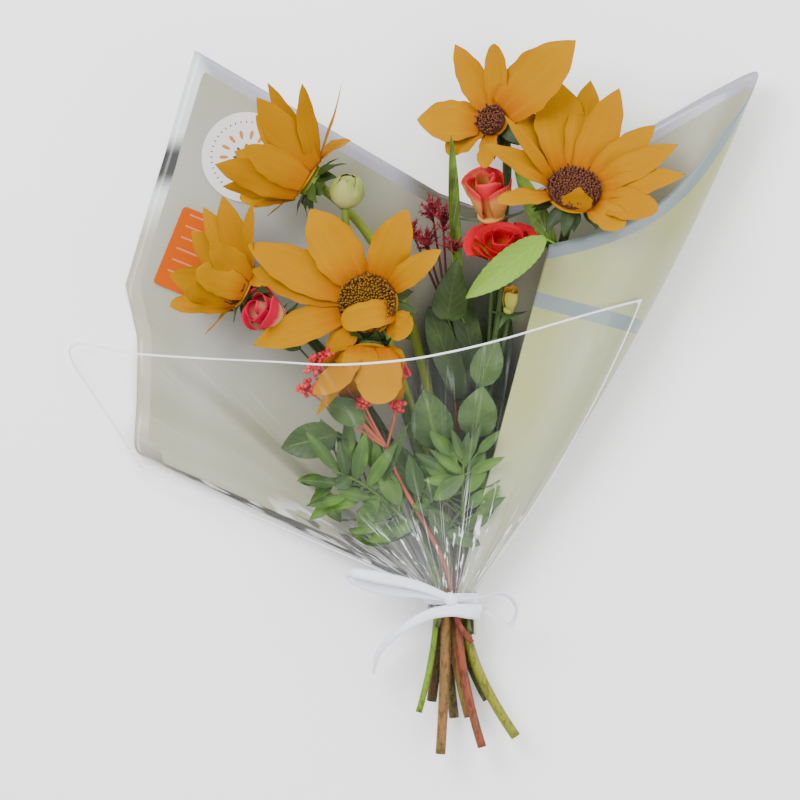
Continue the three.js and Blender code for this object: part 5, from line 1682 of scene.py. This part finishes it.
class BOUQUET_OT_fillers(bpy.types.Operator):
    """Builds the coral and the dark red filler sprays"""

    bl_idname = "bouquet.fillers"
    bl_label = "Filler sprays"

    def execute(self, context):
        looks = {
            "coral": ("coral_florets", (0.42, 0.008, 0.016), (0.5, 0.05, 0.04), (0.3, 0.07, 0.035)),
            "red": ("dark_red_florets", (0.12, 0.004, 0.01), (0.28, 0.02, 0.03), (0.09, 0.02, 0.014)),
        }
        for name, spray in FILLERS.items():
            rng = random.Random(spray["seed"])
            slot, colour, light, branch = looks[name]
            twig = stem_paint(f"filler stem {name}", branch, (0.14, 0.02, 0.012))
            skin = Skin()
            skin.paint = STEM_PAINT
            fork = Vector(spray["fork"])
            path = stem_path(spray, fork, Vector(FILLER_WAY).normalized())
            tube(skin, path, lambda t: mix(THIN_STEM, 1.5, t), 10, 60)
            for x, y, z, _ in spray["heads"]:
                centre = Vector((x, y, z))
                lift = fork.lerp(centre, 0.5) + Vector((0, -2, -4))
                tube(skin, Path(bezier([fork, lift, centre], 16)), lambda t: mix(1.1, 0.7, t), 7, 16)
            skin.paint = LEAF_PAINT
            for x, y, z, reach in spray["heads"]:
                centre = Vector((x, y, z))
                for _ in range(FILLER_SPRIGS[name]):
                    away = any_way(rng)
                    if name == "red":
                        away = (away * 0.8 + Vector((-0.1, 0.8, 0.25))).normalized()
                        root = centre.lerp(fork, 0.14 * rng.random())
                        self.needles(skin, root, away * reach * mix(0.8, 1.7, rng.random()), rng)
                    else:
                        tip = centre + away * reach * mix(0.5, 1.25, rng.random())
                        self.floret(skin, centre, tip, rng)
            paints = [plain_paint(f"{name} florets", colour, light), twig]
            skin.object(f"filler_{name}", paints, f"{name}_spray", slot)
        return {"FINISHED"}

    def needles(self, skin, root, reach, rng):
        """A thin twig with short needles all along it."""
        skin.tone = rng.random()
        tube(skin, Path([root, root + reach * 0.5, root + reach]), lambda t: mix(0.5, 0.25, t), 5, 4)
        for k in range(NEEDLES):
            foot = root + reach * (k + 1) / (NEEDLES + 1)
            tip = foot + any_way(rng) * 1.9 + reach.normalized() * 1.3
            tube(skin, Path([foot, foot.lerp(tip, 0.5), tip]), lambda t: mix(0.42, 0.2, t), 4, 2)

    def floret(self, skin, root, tip, rng):
        """A drop on a thin stalk."""
        path = Path([root, root.lerp(tip, 0.5), tip])
        profile = [(0, 0.35), (0.45, 0.4), (0.6, 1.2), (0.78, 1.8), (0.92, 1.2), (1, 0.3)]
        skin.tone = rng.random()
        tube(skin, path, lambda t: max(through(profile, t), 0.2), 6, 8)


class BOUQUET_OT_foliage(bpy.types.Operator):
    """Builds the leafy sprays"""

    bl_idname = "bouquet.foliage"
    bl_label = "Foliage"

    def execute(self, context):
        thick = settings_of(context).leaf_thickness / MM
        greens = ((0.02, 0.046, 0.01), (0.07, 0.15, 0.016), (0.16, 0.27, 0.08))
        leaf_green = green_paint("foliage leaf", *greens, 0.45)
        stem_green = stem_paint("foliage stem", (0.06, 0.1, 0.02), (0.08, 0.09, 0.02))
        for seed, (name, spray) in enumerate(LEAFY.items()):
            rng = random.Random(500 + seed)
            skin = Skin()
            path = stem_path(spray, Vector(spray["top"]), Vector(spray["way"]).normalized())
            for at, tip, width, *base in spray["leaves"]:
                leaf = {"at": at, "tip": tip, "width": width, "curl": -34, "cup": 0.35}
                leaf.update({"base": base[0]} if base else {})
                leaf_on(skin, path, leaf, thick, rng)
            for k in range(SMALL_LEAVES):
                at = mix(0.5, 0.96, k / (SMALL_LEAVES - 1))
                self.small_leaf(skin, path, at, 1 if k % 2 else -1, thick, rng)
            skin.paint = STEM_PAINT
            tube(skin, path, lambda t: mix(THIN_STEM, 1, t), 10, 60)
            paints = [leaf_green, stem_green]
            skin.object(f"foliage_{name}", paints, f"leafy_spray_{name}", "foliage")
        return {"FINISHED"}

    def small_leaf(self, skin, path, at, side, thick, rng):
        """A narrow leaf on a short twig, on one side of the stem."""
        root = path.at(at)
        way = (path.at(min(at + 0.03, 1)) - path.at(at - 0.03)).normalized()
        turn = Matrix.Rotation(math.radians(side * mix(25, 70, rng.random())), 3, "Z")
        way = (turn @ way + Vector((0, 0, mix(-0.35, 0.1, rng.random())))).normalized()
        base = root + way * mix(4, 20, rng.random())
        leaf_on(skin, path, {
            "at": at, "base": base[:], "tip": (base + way * mix(20, 30, rng.random()))[:],
            "width": mix(7, 10, rng.random()), "curl": -30, "cup": 0.35,
        }, thick, rng)


class BOUQUET_OT_stage(bpy.types.Operator):
    """Sets up the pale floor, the soft lights and the camera over the bouquet"""

    bl_idname = "bouquet.stage"
    bl_label = "Stage"

    FLOOR_REACH = 6.0
    FLOOR_DROP = 0.0005
    CAMERA_HEIGHT = 4.0
    FIELD = 0.56
    REFERENCE_Z = 0.06
    SENSOR = 36.0
    WORLD_STRENGTH = 1.3
    # Name, place, size and power.
    LIGHTS = (
        ("key", (-0.9, 0.9, 1.7), 1.1, 52.0),
        ("fill", (1.3, -0.4, 1.5), 1.4, 26.0),
        ("back", (0.2, 1.6, 0.9), 0.8, 14.0),
    )

    def execute(self, context):
        scene = context.scene
        mesh = bpy.data.meshes.new("floor")
        r = self.FLOOR_REACH
        mesh.from_pydata([(-r, -r, 0), (r, -r, 0), (r, r, 0), (-r, r, 0)], [], [(0, 1, 2, 3)])
        paint = Paint("floor", Roughness=0.9)
        paint.set("Base Color", (0.95, 0.95, 0.95))
        mesh.materials.append(paint.material)
        floor = link("floor", mesh)
        floor.location.z = -self.FLOOR_DROP
        for name, place, size, power in self.LIGHTS:
            light = bpy.data.lights.new(name, "AREA")
            light.size = size
            light.energy = power
            lamp = link(name, light)
            lamp.location = place
            lamp.rotation_mode = "QUATERNION"
            lamp.rotation_quaternion = (-Vector(place)).to_track_quat("-Z", "Y")
        world = bpy.data.worlds.new("soft studio")
        world.use_nodes = True
        background = world.node_tree.nodes["Background"].inputs
        background["Color"].default_value = (1, 1, 1, 1)
        background["Strength"].default_value = self.WORLD_STRENGTH
        scene.world = world
        lens = bpy.data.cameras.new("camera")
        lens.sensor_width = self.SENSOR
        lens.lens = self.SENSOR * self.CAMERA_HEIGHT / self.FIELD
        lens.clip_end = 50
        camera = link("camera", lens)
        middle = SHIFT * MM
        camera.location = (middle.x, middle.y, self.REFERENCE_Z + self.CAMERA_HEIGHT)
        scene.camera = camera
        return {"FINISHED"}


class BOUQUET_PT_panel(bpy.types.Panel):
    bl_label = "Bouquet"
    bl_idname = "BOUQUET_PT_panel"
    bl_space_type = "VIEW_3D"
    bl_region_type = "UI"
    bl_category = "Bouquet"

    def draw(self, context):
        for name in BouquetSettings.__annotations__:
            self.layout.prop(settings_of(context), name)
        for operator in OPERATORS:
            self.layout.operator(operator.bl_idname)


OPERATORS = (
    BOUQUET_OT_wrap,
    BOUQUET_OT_ribbon,
    BOUQUET_OT_labels,
    BOUQUET_OT_sunflower_petals,
    BOUQUET_OT_sunflower_discs,
    BOUQUET_OT_sunflower_stems,
    BOUQUET_OT_green_bud,
    BOUQUET_OT_roses,
    BOUQUET_OT_rose_stems,
    BOUQUET_OT_fillers,
    BOUQUET_OT_foliage,
    BOUQUET_OT_stage,
)
CLASSES = (BouquetSettings, *OPERATORS, BOUQUET_PT_panel)


def register():
    for cls in CLASSES:
        bpy.utils.register_class(cls)
    bpy.types.Scene.bouquet = PointerProperty(type=BouquetSettings)


def unregister():
    del bpy.types.Scene.bouquet
    for cls in reversed(CLASSES):
        bpy.utils.unregister_class(cls)


def main():
    register()
    for operator in OPERATORS:
        group, name = operator.bl_idname.split(".")
        getattr(getattr(bpy.ops, group), name)()
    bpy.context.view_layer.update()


if __name__ == "__main__":
    main()
